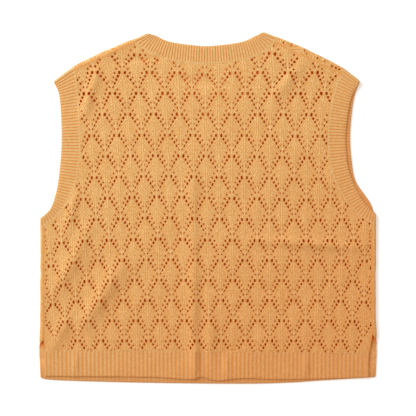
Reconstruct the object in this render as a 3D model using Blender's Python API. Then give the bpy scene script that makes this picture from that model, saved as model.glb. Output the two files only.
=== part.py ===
"""A sleeveless pullover in lace knit, lying flat on its front with its back up.

Every knitted piece is cut flat and then bent the way it lies. The front panel lies on the
surface and wraps round the sides and over the shoulders to meet the back panel at its seams.
The rib bands of the neck and the armholes are closed rings, folded flat with the garment.
+Z is up, the neck points to +Y, and the origin is on the surface under the middle.
"""
import math
from collections import namedtuple

import bmesh
import bpy
from mathutils import Vector

MM = 0.001

# The cloth: how thick it is and how its two layers lie on each other.
CLOTH = 2.2 * MM
SEAM_GAP = 0.3 * MM
FOLD_PUFF = 1.6 * MM          # how much higher the back lies at a fold than in the middle
PUFF_REACH = 14.0 * MM        # how far that rise reaches in from the fold
FRONT_LEVEL = CLOTH / 2
BACK_LEVEL = FRONT_LEVEL + CLOTH + SEAM_GAP
FOLD_RADIUS = (BACK_LEVEL + FOLD_PUFF - FRONT_LEVEL) / 2
FOLD_INSET = FOLD_RADIUS + CLOTH / 2
FOLD_STEPS = 5                # flat strips round a half turn

# The body, seen from above.
HALF_BODY = 268.5 * MM        # out to the side folds
SIDE_SEAM = 262.5 * MM        # the side seams lie on the back, inside the folds
VENT_HALF_WIDTH = 270.0 * MM  # the front below the side slits, where it lies open
SHOULDER_SEAM_LEFT = 7.5 * MM    # from the shoulder fold down to the seam on the back
SHOULDER_SEAM_RIGHT = 12.0 * MM
FRONT_HEM_SEAM = -240.0 * MM
BACK_HEM_SEAM = -231.0 * MM
BACK_HEM_SLANT = 2.0 * MM     # the back's hem seam is this much lower at the right slit
SLIT_TOP_LEFT = -209.0 * MM
SLIT_TOP_RIGHT = -201.0 * MM
SLIT_OPENS_LEFT = 1.4 * MM    # how far the back's edge draws in below the slit's top
SLIT_OPENS_RIGHT = 5.4 * MM
SLIT_EASE = 38.0 * MM         # length over which the back's edge draws in
UNCURL = 24.0 * MM            # length over which the front's edge unrolls below the slit's top
CORNER_RADIUS = 5.0 * MM

# The front's scooped neck, hidden under the back: two half ellipses below the shoulder folds.
FRONT_NECK_DEPTH = 105.0 * MM
NECK_BAND_WIDTH = 27.0 * MM

CELL = 17.0 * MM              # the size of the back panel's bending cells
NECK_HEIGHT = 250.0 * MM      # the cells reach up to here, close under the neck band
PATH_STEPS = 3                # points to each span of a smooth outline
SLIT_STEPS = 3                # stretches of the back's edge beside a slit
CURL_STEPS = 4                # stretches of the front's edge where it unrolls
UNCURL_CREASES = 6            # bending strips across the same place
CORNER_STEPS = 3              # stretches round a hem corner
RIDGE_START = 0.15            # a ridge starts and stops this far into a half wave
LIES_OPEN = 0.02              # a roll looser than this lies flat

# How closely cut cloth is welded, flattened and creased.
WELD = 0.01 * MM
FLAT_ANGLE = math.radians(0.1)
CUT_WIDTH = 0.001 * MM

BACK_COLOUR = (0.78, 0.44, 0.16)
FRONT_COLOUR = (0.76, 0.42, 0.15)
RIB_COLOUR = (0.80, 0.46, 0.17)

# Armholes, from the shoulder fold to the side fold, in millimetres. The back band's seam and
# free edge, and how far the front band lies beyond the back one towards +X.
ArmholeRow = namedtuple("ArmholeRow", "seam_x seam_y edge_x edge_y front_shift")
ARMHOLE_LEFT = (
    ArmholeRow(-215.0, 226.1, -248.0, 202.6, 0.0),
    ArmholeRow(-209.6, 182.4, -237.9, 179.7, 3.0),
    ArmholeRow(-205.2, 112.0, -234.4, 110.0, 6.0),
    ArmholeRow(-208.6, 56.0, -238.0, 56.0, 6.0),
    ArmholeRow(-221.0, 20.0, -245.0, 17.0, 5.0),
    ArmholeRow(-239.5, -10.6, -254.5, -4.5, 3.0),
    ArmholeRow(-268.5, -31.0, -268.5, -14.4, 0.0),
)
ARMHOLE_RIGHT = (
    ArmholeRow(218.4, 223.2, 244.8, 202.6, 0.0),
    ArmholeRow(202.2, 181.0, 230.6, 180.0, 4.4),
    ArmholeRow(193.4, 118.0, 220.8, 118.0, 6.0),
    ArmholeRow(198.0, 65.0, 224.6, 66.0, 6.0),
    ArmholeRow(209.6, 33.6, 236.0, 35.0, 4.5),
    ArmholeRow(232.6, -1.8, 250.5, 8.5, 9.5),
    ArmholeRow(268.5, -26.0, 268.5, -6.5, 0.0),
)

# The back's neck band, from the left shoulder fold to the right one, in millimetres.
NeckRow = namedtuple("NeckRow", "seam_x seam_y edge_x edge_y")
NECK_BACK = (
    NeckRow(-120.6, 269.6, -92.8, 278.4),
    NeckRow(-99.2, 253.5, -78.0, 274.0),
    NeckRow(-56.0, 236.5, -40.0, 261.8),
    NeckRow(3.2, 231.7, 3.2, 259.4),
    NeckRow(57.6, 239.0, 45.0, 264.5),
    NeckRow(90.7, 251.5, 69.5, 273.6),
    NeckRow(110.6, 274.1, 86.4, 281.4),
)

# The lower edges of the two hem ribs, from left to right, in millimetres.
EdgeRow = namedtuple("EdgeRow", "x y")
BACK_HEM_EDGE = (
    EdgeRow(-261.0, -269.3),
    EdgeRow(-100.0, -270.6),
    EdgeRow(-30.4, -274.4),
    EdgeRow(-12.8, -270.6),
    EdgeRow(15.2, -276.6),
    EdgeRow(52.8, -272.8),
    EdgeRow(131.2, -274.4),
    EdgeRow(257.0, -271.0),
)
FRONT_HEM_EDGE = (
    EdgeRow(-268.6, -272.4),
    EdgeRow(-236.8, -276.0),
    EdgeRow(-108.8, -279.6),
    EdgeRow(51.2, -281.4),
    EdgeRow(131.2, -279.6),
    EdgeRow(179.2, -276.4),
    EdgeRow(268.6, -271.0),
)

# Soft ridges of the back, in millimetres.
RidgeRow = namedtuple("RidgeRow", "start_x start_y end_x end_y half_width height")
RIDGES = (
    RidgeRow(-192.0, -32.0, -240.0, -132.0, 15.0, 1.3),
    RidgeRow(-145.0, -90.0, -203.0, -186.0, 16.0, 1.6),
    RidgeRow(-226.0, -165.0, -252.0, -215.0, 14.0, 1.2),
    RidgeRow(-32.0, -90.0, -32.0, -262.0, 16.0, 1.1),
    RidgeRow(2.0, -150.0, 2.0, -262.0, 16.0, 1.2),
    RidgeRow(80.0, -49.0, 235.0, -62.0, 15.0, 1.0),
)

Fold = namedtuple("Fold", "start end outward")
BandEnd = namedtuple("BandEnd", "seam seam_outward edge edge_outward")
Armhole = namedtuple("Armhole", "back_seam back_edge front_seam front_edge shoulder side")
Collar = namedtuple("Collar", "back_seam back_edge front_seam front_edge left right")


def mm(x, y):
    """A point of the plan, from millimetres."""
    return Vector((x, y)) * MM


def smooth_path(points):
    """Points of a smooth curve through the given ones, ends included."""
    path = [points[0]]
    for index in range(len(points) - 1):
        before = points[max(index - 1, 0)]
        start, end = points[index], points[index + 1]
        after = points[min(index + 2, len(points) - 1)]
        for step in range(1, PATH_STEPS + 1):
            t = step / PATH_STEPS
            a = -t ** 3 + 2 * t ** 2 - t
            b = 3 * t ** 3 - 5 * t ** 2 + 2
            c = -3 * t ** 3 + 4 * t ** 2 + t
            d = t ** 3 - t ** 2
            path.append((before * a + start * b + end * c + after * d) / 2)
    return path


def ease(value):
    """A smooth step from 0 to 1."""
    value = min(max(value, 0.0), 1.0)
    return value * value * (3 - 2 * value)


def outward_of(start, end):
    """The unit normal of a stretch of the outline, pointing away from the garment."""
    along = (end - start).normalized()
    normal = Vector((-along.y, along.x))
    return normal if normal.dot(start + end) > 0 else -normal


def make_fold(start, end):
    """The line where the cloth starts to turn, under a straight stretch of the outline."""
    outward = outward_of(start, end)
    return Fold(start - outward * FOLD_INSET, end - outward * FOLD_INSET, outward)


def make_band_end(seam, edge, panel_fold):
    """Where a band turns over: its seam turns with the panel and its edge about its own line."""
    edge_outward = outward_of(seam, edge)
    return BandEnd(
        seam - panel_fold.outward * FOLD_INSET,
        panel_fold.outward,
        edge - edge_outward * FOLD_INSET,
        edge_outward,
    )


def make_armhole(rows, shoulder_fold, side_fold):
    """The four edges of an armhole band and its two ends, from its table."""
    first, last = rows[0], rows[-1]
    shoulder = make_band_end(mm(first.seam_x, first.seam_y), mm(first.edge_x, first.edge_y), shoulder_fold)
    side = make_band_end(mm(last.seam_x, last.seam_y), mm(last.edge_x, last.edge_y), side_fold)
    middle = rows[1:-1]

    def edge_path(points, start, end):
        return smooth_path([start] + points + [end])

    return Armhole(
        edge_path([mm(row.seam_x, row.seam_y) for row in middle], shoulder.seam, side.seam),
        edge_path([mm(row.edge_x, row.edge_y) for row in middle], shoulder.edge, side.edge),
        edge_path([mm(row.seam_x + row.front_shift, row.seam_y) for row in middle],
                  shoulder.seam, side.seam),
        edge_path([mm(row.edge_x + row.front_shift, row.edge_y) for row in middle],
                  shoulder.edge, side.edge),
        shoulder,
        side,
    )


def scoop(left, right, depth):
    """A half ellipse that hangs from two points of the shoulder folds."""
    count = PATH_STEPS * (len(NECK_BACK) - 1)
    path = []
    for index in range(count + 1):
        angle = math.pi * index / count
        across = (1 - math.cos(angle)) / 2
        path.append(left.lerp(right, across) - Vector((0, depth * math.sin(angle))))
    return path


def make_collar(left_fold, right_fold):
    """The four edges of the neck band and its two ends."""
    first, last = NECK_BACK[0], NECK_BACK[-1]
    left = make_band_end(mm(first.seam_x, first.seam_y), mm(first.edge_x, first.edge_y), left_fold)
    right = make_band_end(mm(last.seam_x, last.seam_y), mm(last.edge_x, last.edge_y), right_fold)
    seams = [mm(row.seam_x, row.seam_y) for row in NECK_BACK[1:-1]]
    edges = [mm(row.edge_x, row.edge_y) for row in NECK_BACK[1:-1]]
    return Collar(
        smooth_path([left.seam] + seams + [right.seam]),
        smooth_path([left.edge] + edges + [right.edge]),
        scoop(left.seam, right.seam, FRONT_NECK_DEPTH + NECK_BAND_WIDTH),
        scoop(left.edge, right.edge, FRONT_NECK_DEPTH),
        left,
        right,
    )


# The folds of the panels, between the neck band, the armhole bands and the side slits.
LEFT_SHOULDER = make_fold(
    mm(NECK_BACK[0].seam_x, NECK_BACK[0].seam_y),
    mm(ARMHOLE_LEFT[0].seam_x, ARMHOLE_LEFT[0].seam_y),
)
RIGHT_SHOULDER = make_fold(
    mm(NECK_BACK[-1].seam_x, NECK_BACK[-1].seam_y),
    mm(ARMHOLE_RIGHT[0].seam_x, ARMHOLE_RIGHT[0].seam_y),
)
LEFT_SIDE = make_fold(
    Vector((-HALF_BODY, ARMHOLE_LEFT[-1].seam_y * MM)),
    Vector((-HALF_BODY, SLIT_TOP_LEFT)),
)
RIGHT_SIDE = make_fold(
    Vector((HALF_BODY, ARMHOLE_RIGHT[-1].seam_y * MM)),
    Vector((HALF_BODY, SLIT_TOP_RIGHT)),
)
COLLAR = make_collar(LEFT_SHOULDER, RIGHT_SHOULDER)
LEFT_ARMHOLE = make_armhole(ARMHOLE_LEFT, LEFT_SHOULDER, LEFT_SIDE)
RIGHT_ARMHOLE = make_armhole(ARMHOLE_RIGHT, RIGHT_SHOULDER, RIGHT_SIDE)
FOLD_LINES = [(fold.start, fold.end) for fold in (LEFT_SHOULDER, RIGHT_SHOULDER, LEFT_SIDE, RIGHT_SIDE)]
FOLD_LINES += [
    (end.seam, end.edge)
    for end in (COLLAR.left, COLLAR.right, LEFT_ARMHOLE.shoulder, LEFT_ARMHOLE.side,
                RIGHT_ARMHOLE.shoulder, RIGHT_ARMHOLE.side)
]


def distance_to(point, start, end):
    """How far a point lies from a straight stretch, and how far along it (0 to 1)."""
    along = end - start
    place = min(max((point - start).dot(along) / along.length_squared, 0.0), 1.0)
    return (point - start - along * place).length, place


def relief(point):
    """How much higher than flat the back lies at a point: its puffed folds and soft ridges."""
    nearest = min(distance_to(point, start, end)[0] for start, end in FOLD_LINES)
    puff = math.exp(-nearest / PUFF_REACH)
    ridges = 0.0
    for row in RIDGES:
        off, place = distance_to(point, mm(row.start_x, row.start_y), mm(row.end_x, row.end_y))
        fade = math.sin(math.pi * (RIDGE_START + (1 - 2 * RIDGE_START) * place))
        ridges += row.height * MM * fade * math.exp(-(off / (row.half_width * MM)) ** 2)
    return FOLD_PUFF * puff + ridges * (1 - puff)


def on_back(point, inside):
    """A point of the upper layer, so far towards the inside of the garment from mid-cloth."""
    return Vector((point.x, point.y, BACK_LEVEL + relief(point) - inside))


def on_front(point, inside):
    """A point of the lower layer, so far towards the inside of the garment from mid-cloth."""
    return Vector((point.x, point.y, FRONT_LEVEL + inside))


def on_bend(base, outward, turn, inside, radius=FOLD_RADIUS):
    """A point of a fold: turn runs from 0 at the lower layer to pi at the upper one.

    A larger radius lengthens the fold outwards, and leaves its height.
    """
    plan = base + outward * (radius - inside) * math.sin(turn)
    height = FOLD_RADIUS * (1 - math.cos(turn)) + inside * math.cos(turn)
    return Vector((plan.x, plan.y, FRONT_LEVEL + height))


def unfold(point, fold):
    """Where a point of the upper layer lies when the cloth is opened out past its fold."""
    depth = -(point - fold.start).dot(fold.outward)
    return point + fold.outward * (2 * depth + math.pi * FOLD_RADIUS)


def split_at_depth(path, fold, depth):
    """Splits a path that starts at a fold where it lies so deep inside it."""
    for index in range(1, len(path)):
        before = -(path[index - 1] - fold.start).dot(fold.outward)
        after = -(path[index] - fold.start).dot(fold.outward)
        if after >= depth:
            point = path[index - 1].lerp(path[index], (depth - before) / (after - before))
            return path[:index] + [point], [point] + path[index:]
    raise ValueError("The path never lies that deep")


def flat_cloth(name, outline):
    """A flat slab of cloth in its cutting outline, as a bmesh about mid-cloth."""
    curve = bpy.data.curves.new(name, "CURVE")
    curve.dimensions = "2D"
    curve.fill_mode = "BOTH"
    curve.extrude = CLOTH / 2
    spline = curve.splines.new("POLY")
    spline.points.add(len(outline) - 1)
    for spline_point, point in zip(spline.points, outline):
        spline_point.co = (point.x, point.y, 0, 1)
    spline.use_cyclic_u = True
    pattern = bpy.data.objects.new(name + "_pattern", curve)
    bpy.context.scene.collection.objects.link(pattern)
    evaluated = pattern.evaluated_get(bpy.context.evaluated_depsgraph_get())
    mesh = bpy.data.meshes.new_from_object(evaluated)
    bpy.data.objects.remove(pattern)
    cloth = bmesh.new()
    cloth.from_mesh(mesh)
    bpy.data.meshes.remove(mesh)
    bmesh.ops.remove_doubles(cloth, verts=cloth.verts, dist=WELD)
    bmesh.ops.dissolve_limit(cloth, angle_limit=FLAT_ANGLE, verts=cloth.verts, edges=cloth.edges)
    return cloth


def crease_lines(cloth, lines, keep=None):
    """Cuts a slab along upright planes, each given by a point and a direction across it."""
    for point, across in lines:
        faces = [face for face in cloth.faces if keep is None or keep(face.calc_center_median())]
        edges = {edge for face in faces for edge in face.edges}
        verts = {vert for face in faces for vert in face.verts}
        bmesh.ops.bisect_plane(
            cloth,
            geom=list(verts) + list(edges) + faces,
            dist=CUT_WIDTH,
            plane_co=(point.x, point.y, 0),
            plane_no=(across.x, across.y, 0),
        )


def bend_lines(fold):
    """The crease lines of one fold, evenly round its half turn."""
    lines = []
    for step in range(FOLD_STEPS + 1):
        stretch = math.pi * FOLD_RADIUS * step / FOLD_STEPS
        lines.append((fold.start + fold.outward * stretch, fold.outward))
    return lines


def grid_lines(low, high, across):
    """Crease lines a cell apart between two places along a direction."""
    count = max(1, round((high - low) / CELL))
    return [(across * (low + (high - low) * index / count), across) for index in range(1, count)]


def finish(name, cloth, collection, colour):
    """Makes an object of a bmesh, with its own material."""
    bmesh.ops.recalc_face_normals(cloth, faces=cloth.faces)
    mesh = bpy.data.meshes.new(name)
    cloth.to_mesh(mesh)
    cloth.free()
    material = bpy.data.materials.new(name + "_yarn")
    material.use_nodes = True
    shader = material.node_tree.nodes["Principled BSDF"]
    shader.inputs["Base Color"].default_value = (*colour, 1)
    shader.inputs["Roughness"].default_value = 0.9
    shader.inputs["Metallic"].default_value = 0.0
    mesh.materials.append(material)
    piece = bpy.data.objects.new(name, mesh)
    collection.objects.link(piece)
    return piece


def slit_edge(side, slit_top, opens, y):
    """The back's edge beside a side slit, which draws in below the slit's top."""
    return Vector((side * (SIDE_SEAM - opens * ease((slit_top - y) / SLIT_EASE)), y))


def hem_seam(x):
    """The height at which the back's hem rib starts."""
    return BACK_HEM_SEAM - BACK_HEM_SLANT * x / SIDE_SEAM


def slit_points(side, slit_top, opens):
    """The back panel's edge from the top of a slit down to the hem rib."""
    drop = hem_seam(side * SIDE_SEAM) - slit_top
    return [
        slit_edge(side, slit_top, opens, slit_top + drop * step / SLIT_STEPS)
        for step in range(SLIT_STEPS + 1)
    ]


def make_back_panel(collection):
    """The back: a flat panel inside the seams, with soft ridges."""
    left_wrap = SHOULDER_SEAM_LEFT - FOLD_INSET
    right_wrap = SHOULDER_SEAM_RIGHT - FOLD_INSET
    side_wrap = HALF_BODY - FOLD_INSET - SIDE_SEAM

    def armhole_edge(armhole, shoulder, shoulder_wrap, side):
        below_shoulder = split_at_depth(armhole.back_seam, shoulder, shoulder_wrap)[1]
        from_side = split_at_depth(below_shoulder[::-1], side, side_wrap)[1]
        return from_side[::-1]

    left_arm = armhole_edge(LEFT_ARMHOLE, LEFT_SHOULDER, left_wrap, LEFT_SIDE)
    right_arm = armhole_edge(RIGHT_ARMHOLE, RIGHT_SHOULDER, right_wrap, RIGHT_SIDE)
    neck = split_at_depth(COLLAR.back_seam, LEFT_SHOULDER, left_wrap)[1]
    neck = split_at_depth(neck[::-1], RIGHT_SHOULDER, right_wrap)[1][::-1]
    outline = (
        left_arm
        + slit_points(-1, SLIT_TOP_LEFT, SLIT_OPENS_LEFT)
        + slit_points(1, SLIT_TOP_RIGHT, SLIT_OPENS_RIGHT)[::-1]
        + right_arm[::-1]
        + neck[::-1]
    )
    cloth = flat_cloth("back_panel", outline)
    crease_lines(cloth, grid_lines(-SIDE_SEAM, SIDE_SEAM, Vector((1, 0))))
    crease_lines(cloth, grid_lines(BACK_HEM_SEAM, NECK_HEIGHT, Vector((0, 1))))
    bmesh.ops.triangulate(cloth, faces=cloth.faces)
    for vert in cloth.verts:
        vert.co = on_back(vert.co.xy, -vert.co.z)
    return finish("back_panel", cloth, collection, BACK_COLOUR)


def curl(point_y, slit_top):
    """How tightly the front's side is rolled: 1 along the side seam, 0 where it lies open."""
    return ease((point_y - slit_top) / UNCURL + 1)


def make_front_panel(collection):
    """The front: it lies on the surface and wraps over to the seams on the back."""
    folded = math.pi * FOLD_RADIUS
    side_line = HALF_BODY - FOLD_INSET
    side_reach = side_line + folded + side_line - SIDE_SEAM - SEAM_GAP

    def shoulder_wrap(fold, seam_depth, from_path, to_path):
        """The wrapped strip of a shoulder, opened out, from one band's seam to the other's."""
        depth = seam_depth - FOLD_INSET - SEAM_GAP
        leave = split_at_depth(from_path, fold, depth)[0]
        come_back = split_at_depth(to_path, fold, depth)[0]
        return [unfold(point, fold) for point in leave + come_back[::-1]]

    def side_edge(side, fold, slit_top, armhole):
        """The side's wrapped edge, opened out, from the vent's foot up to the armhole band."""
        edge = [Vector((side * VENT_HALF_WIDTH, FRONT_HEM_SEAM))]
        for step in range(CURL_STEPS + 1):
            y = slit_top + UNCURL * (step / CURL_STEPS - 1)
            reach = VENT_HALF_WIDTH + (side_reach - VENT_HALF_WIDTH) * ease(step / CURL_STEPS)
            edge.append(Vector((side * reach, y)))
        tip = split_at_depth(armhole.back_seam[::-1], fold, side_line - SIDE_SEAM - SEAM_GAP)[0]
        return edge + [unfold(point, fold) for point in tip[::-1]]

    right_side = side_edge(1, RIGHT_SIDE, SLIT_TOP_RIGHT, RIGHT_ARMHOLE)
    left_side = side_edge(-1, LEFT_SIDE, SLIT_TOP_LEFT, LEFT_ARMHOLE)
    right_shoulder = shoulder_wrap(
        RIGHT_SHOULDER, SHOULDER_SEAM_RIGHT, RIGHT_ARMHOLE.back_seam, COLLAR.back_seam[::-1])
    left_shoulder = shoulder_wrap(
        LEFT_SHOULDER, SHOULDER_SEAM_LEFT, COLLAR.back_seam, LEFT_ARMHOLE.back_seam)
    outline = (
        right_side
        + RIGHT_ARMHOLE.front_seam[::-1]
        + right_shoulder
        + COLLAR.front_seam[::-1]
        + left_shoulder
        + LEFT_ARMHOLE.front_seam
        + left_side[::-1]
    )
    cloth = flat_cloth("front_panel", outline)
    for fold in (LEFT_SHOULDER, RIGHT_SHOULDER, LEFT_SIDE, RIGHT_SIDE):
        crease_lines(cloth, bend_lines(fold))

    def beside_a_fold(centre):
        return abs(centre.x) > side_line

    crease_lines(cloth, grid_lines(FRONT_HEM_SEAM, 0.0, Vector((0, 1))), beside_a_fold)
    for slit_top in (SLIT_TOP_LEFT, SLIT_TOP_RIGHT):
        rows = [
            (Vector((0, slit_top - UNCURL * step / UNCURL_CREASES)), Vector((0, 1)))
            for step in range(UNCURL_CREASES + 1)
        ]
        crease_lines(cloth, rows, beside_a_fold)
    bmesh.ops.triangulate(cloth, faces=cloth.faces)
    for vert in cloth.verts:
        vert.co = wrap(vert.co.xy, vert.co.z)
    return finish("front_panel", cloth, collection, FRONT_COLOUR)


def wrap(point, inside):
    """Bends a point of the opened-out front panel to where it lies."""
    for fold, slit_top in ((LEFT_SIDE, SLIT_TOP_LEFT), (RIGHT_SIDE, SLIT_TOP_RIGHT),
                           (LEFT_SHOULDER, None), (RIGHT_SHOULDER, None)):
        past = (point - fold.start).dot(fold.outward)
        if past <= 0:
            continue
        base = point - fold.outward * past
        tightness = 1.0 if slit_top is None else curl(point.y, slit_top)
        if tightness < LIES_OPEN:
            break
        radius = FOLD_RADIUS / tightness
        turn = past / radius
        if turn <= math.pi:
            return on_bend(base, fold.outward, turn, inside, radius)
        return on_back(base - fold.outward * (past - math.pi * radius), inside)
    return on_front(point, inside)


def ring_section(seam, edge, place):
    """Six points round a band's section; place puts a point of the plan in its layer."""
    across = (edge - seam).normalized()
    near = seam + across * SEAM_GAP
    plan = (near, near.lerp(edge, 0.5), edge)
    inner = [place(point, CLOTH / 2) for point in plan]
    outer = [place(point, -CLOTH / 2) for point in reversed(plan)]
    return inner + outer


def bend_section(end, turn):
    """The section of a band part of the way round one of its folds."""
    across = (end.edge - end.seam).normalized()
    near = end.seam + across * SEAM_GAP
    middle_outward = (end.seam_outward + end.edge_outward).normalized()
    plan = (
        (near, end.seam_outward),
        (near.lerp(end.edge, 0.5), middle_outward),
        (end.edge, end.edge_outward),
    )
    inner = [on_bend(base, outward, turn, CLOTH / 2) for base, outward in plan]
    outer = [on_bend(base, outward, turn, -CLOTH / 2) for base, outward in reversed(plan)]
    return inner + outer


def make_band(name, band, first_end, last_end, collection):
    """A closed ring of rib: over the back, round a fold, back over the front, round a fold."""
    turns = [math.pi * step / FOLD_STEPS for step in range(1, FOLD_STEPS)]
    sections = [ring_section(s, e, on_back) for s, e in zip(band.back_seam, band.back_edge)]
    sections += [bend_section(last_end, turn) for turn in reversed(turns)]
    front = list(zip(band.front_seam, band.front_edge))[::-1]
    sections += [ring_section(s, e, on_front) for s, e in front]
    sections += [bend_section(first_end, turn) for turn in turns]
    cloth = bmesh.new()
    rings = [[cloth.verts.new(point) for point in section] for section in sections]
    for ring, following in zip(rings, rings[1:] + rings[:1]):
        for side in range(len(ring)):
            after = (side + 1) % len(ring)
            cloth.faces.new((ring[side], ring[after], following[after], following[side]))
    bmesh.ops.triangulate(cloth, faces=cloth.faces)
    return finish(name, cloth, collection, RIB_COLOUR)


def round_corner(corner, before, after):
    """The points of a soft curve in place of a corner of the plan."""
    start = corner + (before - corner).normalized() * CORNER_RADIUS
    end = corner + (after - corner).normalized() * CORNER_RADIUS
    points = []
    for step in range(CORNER_STEPS + 1):
        t = step / CORNER_STEPS
        points.append(start * (1 - t) ** 2 + corner * 2 * t * (1 - t) + end * t ** 2)
    return points


def make_hem_rib(name, top_left, top_right, lower_edge, place, collection):
    """A hem rib: a flat strip below its seam, with a soft lower edge and rounded corners."""
    edge = smooth_path([mm(row.x, row.y) for row in lower_edge])
    outline = (
        [top_left]
        + round_corner(edge[0], top_left, edge[1])
        + edge[1:-1]
        + round_corner(edge[-1], edge[-2], top_right)
        + [top_right]
    )
    cloth = flat_cloth(name, outline)
    crease_lines(cloth, grid_lines(top_left.x, top_right.x, Vector((1, 0))))
    middle = Vector((0, (top_left.y + edge[0].y) / 2))
    crease_lines(cloth, [(middle, Vector((0, 1)))])
    bmesh.ops.triangulate(cloth, faces=cloth.faces)
    inwards = -1 if place is on_back else 1
    for vert in cloth.verts:
        vert.co = place(vert.co.xy, inwards * vert.co.z)
    return finish(name, cloth, collection, RIB_COLOUR)


def make_pullover():
    for old in list(bpy.data.objects):
        bpy.data.objects.remove(old)
    collection = bpy.data.collections.new("sleeveless_pullover")
    bpy.context.scene.collection.children.link(collection)

    make_front_panel(collection)
    make_back_panel(collection)
    make_band("neck_band", COLLAR, COLLAR.left, COLLAR.right, collection)
    make_band("armhole_band_left", LEFT_ARMHOLE, LEFT_ARMHOLE.shoulder, LEFT_ARMHOLE.side, collection)
    make_band("armhole_band_right", RIGHT_ARMHOLE, RIGHT_ARMHOLE.shoulder, RIGHT_ARMHOLE.side, collection)

    seam = Vector((0, SEAM_GAP))
    back_left = slit_edge(-1, SLIT_TOP_LEFT, SLIT_OPENS_LEFT, hem_seam(-SIDE_SEAM))
    back_right = slit_edge(1, SLIT_TOP_RIGHT, SLIT_OPENS_RIGHT, hem_seam(SIDE_SEAM))
    make_hem_rib("back_hem_rib", back_left - seam, back_right - seam, BACK_HEM_EDGE, on_back, collection)
    front_left = Vector((-VENT_HALF_WIDTH, FRONT_HEM_SEAM))
    front_right = Vector((VENT_HALF_WIDTH, FRONT_HEM_SEAM))
    make_hem_rib("front_hem_rib", front_left - seam, front_right - seam, FRONT_HEM_EDGE, on_front, collection)


make_pullover()
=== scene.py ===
"""A sleeveless pullover in lace knit, lying on its front with its back up.

Each lace panel starts as a net of stitches laid out along its rows. The net is trimmed to the
panel's outline, its eyelets are opened by the lace chart, and it is bent the way the cloth lies.
The ribbed bands are closed rings, and the two hem ribs are strips with their own ends.
"""
import math
import random
from collections import namedtuple
from functools import partialmethod

import bmesh
import bpy
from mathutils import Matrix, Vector, kdtree, noise


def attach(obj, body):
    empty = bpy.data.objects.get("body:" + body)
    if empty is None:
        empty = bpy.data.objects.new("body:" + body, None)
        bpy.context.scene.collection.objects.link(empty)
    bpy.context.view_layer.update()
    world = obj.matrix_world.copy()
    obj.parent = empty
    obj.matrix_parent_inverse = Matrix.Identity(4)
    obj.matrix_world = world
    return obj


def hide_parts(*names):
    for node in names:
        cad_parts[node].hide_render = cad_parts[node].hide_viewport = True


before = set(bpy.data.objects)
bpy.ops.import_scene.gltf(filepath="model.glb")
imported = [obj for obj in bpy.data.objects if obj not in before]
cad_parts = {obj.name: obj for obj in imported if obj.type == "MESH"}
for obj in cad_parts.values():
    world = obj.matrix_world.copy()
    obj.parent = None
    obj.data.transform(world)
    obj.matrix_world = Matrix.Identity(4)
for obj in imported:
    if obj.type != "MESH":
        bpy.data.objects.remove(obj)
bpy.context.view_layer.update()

MM = 0.001

# How the cloth's two layers lie on each other.
CLOTH = 2.2 * MM
SEAM_GAP = 0.3 * MM
FOLD_PUFF = 1.6 * MM
PUFF_REACH = 14 * MM
FRONT_LEVEL = CLOTH / 2
BACK_LEVEL = FRONT_LEVEL + CLOTH + SEAM_GAP
FOLD_RADIUS = (BACK_LEVEL + FOLD_PUFF - FRONT_LEVEL) / 2
FOLD_INSET = FOLD_RADIUS + CLOTH / 2
FOLD_ARC = math.pi * FOLD_RADIUS
FOLD_STEPS = 7

# The body, seen from above.
HALF_BODY = 268.5 * MM
SIDE_SEAM = 262.5 * MM
VENT_HALF_WIDTH = 270 * MM
SHOULDER_SEAM_LEFT = 5 * MM
SHOULDER_SEAM_RIGHT = 10 * MM
FRONT_HEM_SEAM = -240 * MM
BACK_HEM_SEAM = -231 * MM
BACK_HEM_SLANT = 2 * MM
SLIT_TOP_LEFT = -209 * MM
SLIT_TOP_RIGHT = -201 * MM
SLIT_OPENS_LEFT = 1.4 * MM
SLIT_OPENS_RIGHT = 5.4 * MM
SLIT_EASE = 38 * MM
SLIT_STEPS = 6
UNCURL = 18 * MM  # above the slit's top, where the front comes to lie open
UNCURL_STEPS = 8
SLIT_SHADE = 0.9
SLIT_SHADE_REACH = 24 * MM
SLIT_SHADE_EDGE = 4 * MM
SLIT_BULGE = 2 * MM  # how far the folds swing out above the slits
SLIT_REACH = 26 * MM
FRONT_NECK_DEPTH = 105 * MM
NECK_BAND_WIDTH = 27 * MM
PATH_STEPS = 8


def table(kind, rows):
    """The rows of a table as named tuples."""
    return [kind(*row) for row in rows]


BandRow = namedtuple("BandRow", "seam_x seam_y edge_x edge_y front_shift", defaults=[0])
ARMHOLE_LEFT = table(BandRow, (
    (-215, 226.1, -248, 202.6, 0), (-209.6, 182.4, -237.5, 176.4, 3), (-205.2, 112, -234.4, 111, 6),
    (-208.6, 56, -237.6, 59.9, 6), (-221, 20, -242.9, 25.8, 5), (-239.5, -10.6, -252.1, -0.9, 3),
    (-268.5, -31, -268.5, -14.4, 0),
))
ARMHOLE_RIGHT = table(BandRow, (
    (218.4, 223.2, 244.8, 202.6, 0), (202.2, 181, 228.8, 172.7, 4.4), (193.4, 118, 220.8, 117, 6.8),
    (198, 65, 223.9, 70.3, 6.8), (209.6, 33.6, 232.8, 41.9, 4.5), (232.6, -1.8, 249.2, 10.3, 9.5),
    (268.5, -26, 268.5, -6.5, 0),
))
NECK_BACK = table(BandRow, (
    (-120.6, 269.6, -92.8, 280.8), (-99.2, 253.5, -83, 275.6), (-78, 243.8, -68, 268.4),
    (-56, 236.5, -52, 264.4), (-26, 233, -24.5, 260.9), (3.2, 231.7, 3.2, 259.4),
    (57.6, 239, 51.4, 265.3), (90.7, 251.5, 75.6, 275.2), (110.6, 274.1, 86.4, 282.9),
))
BACK_HEM_EDGE = (
    (-261, -269.3), (-100, -270.6), (-30.4, -274.4), (-12.8, -270.6), (15.2, -276.6), (52.8, -272.8),
    (131.2, -274.4), (257, -271),
)
FRONT_HEM_EDGE = (
    (-268.6, -272.4), (-236.8, -276), (-108.8, -279.6), (51.2, -281.4), (131.2, -279.6), (179.2, -276.4),
    (268.6, -271),
)

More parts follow.
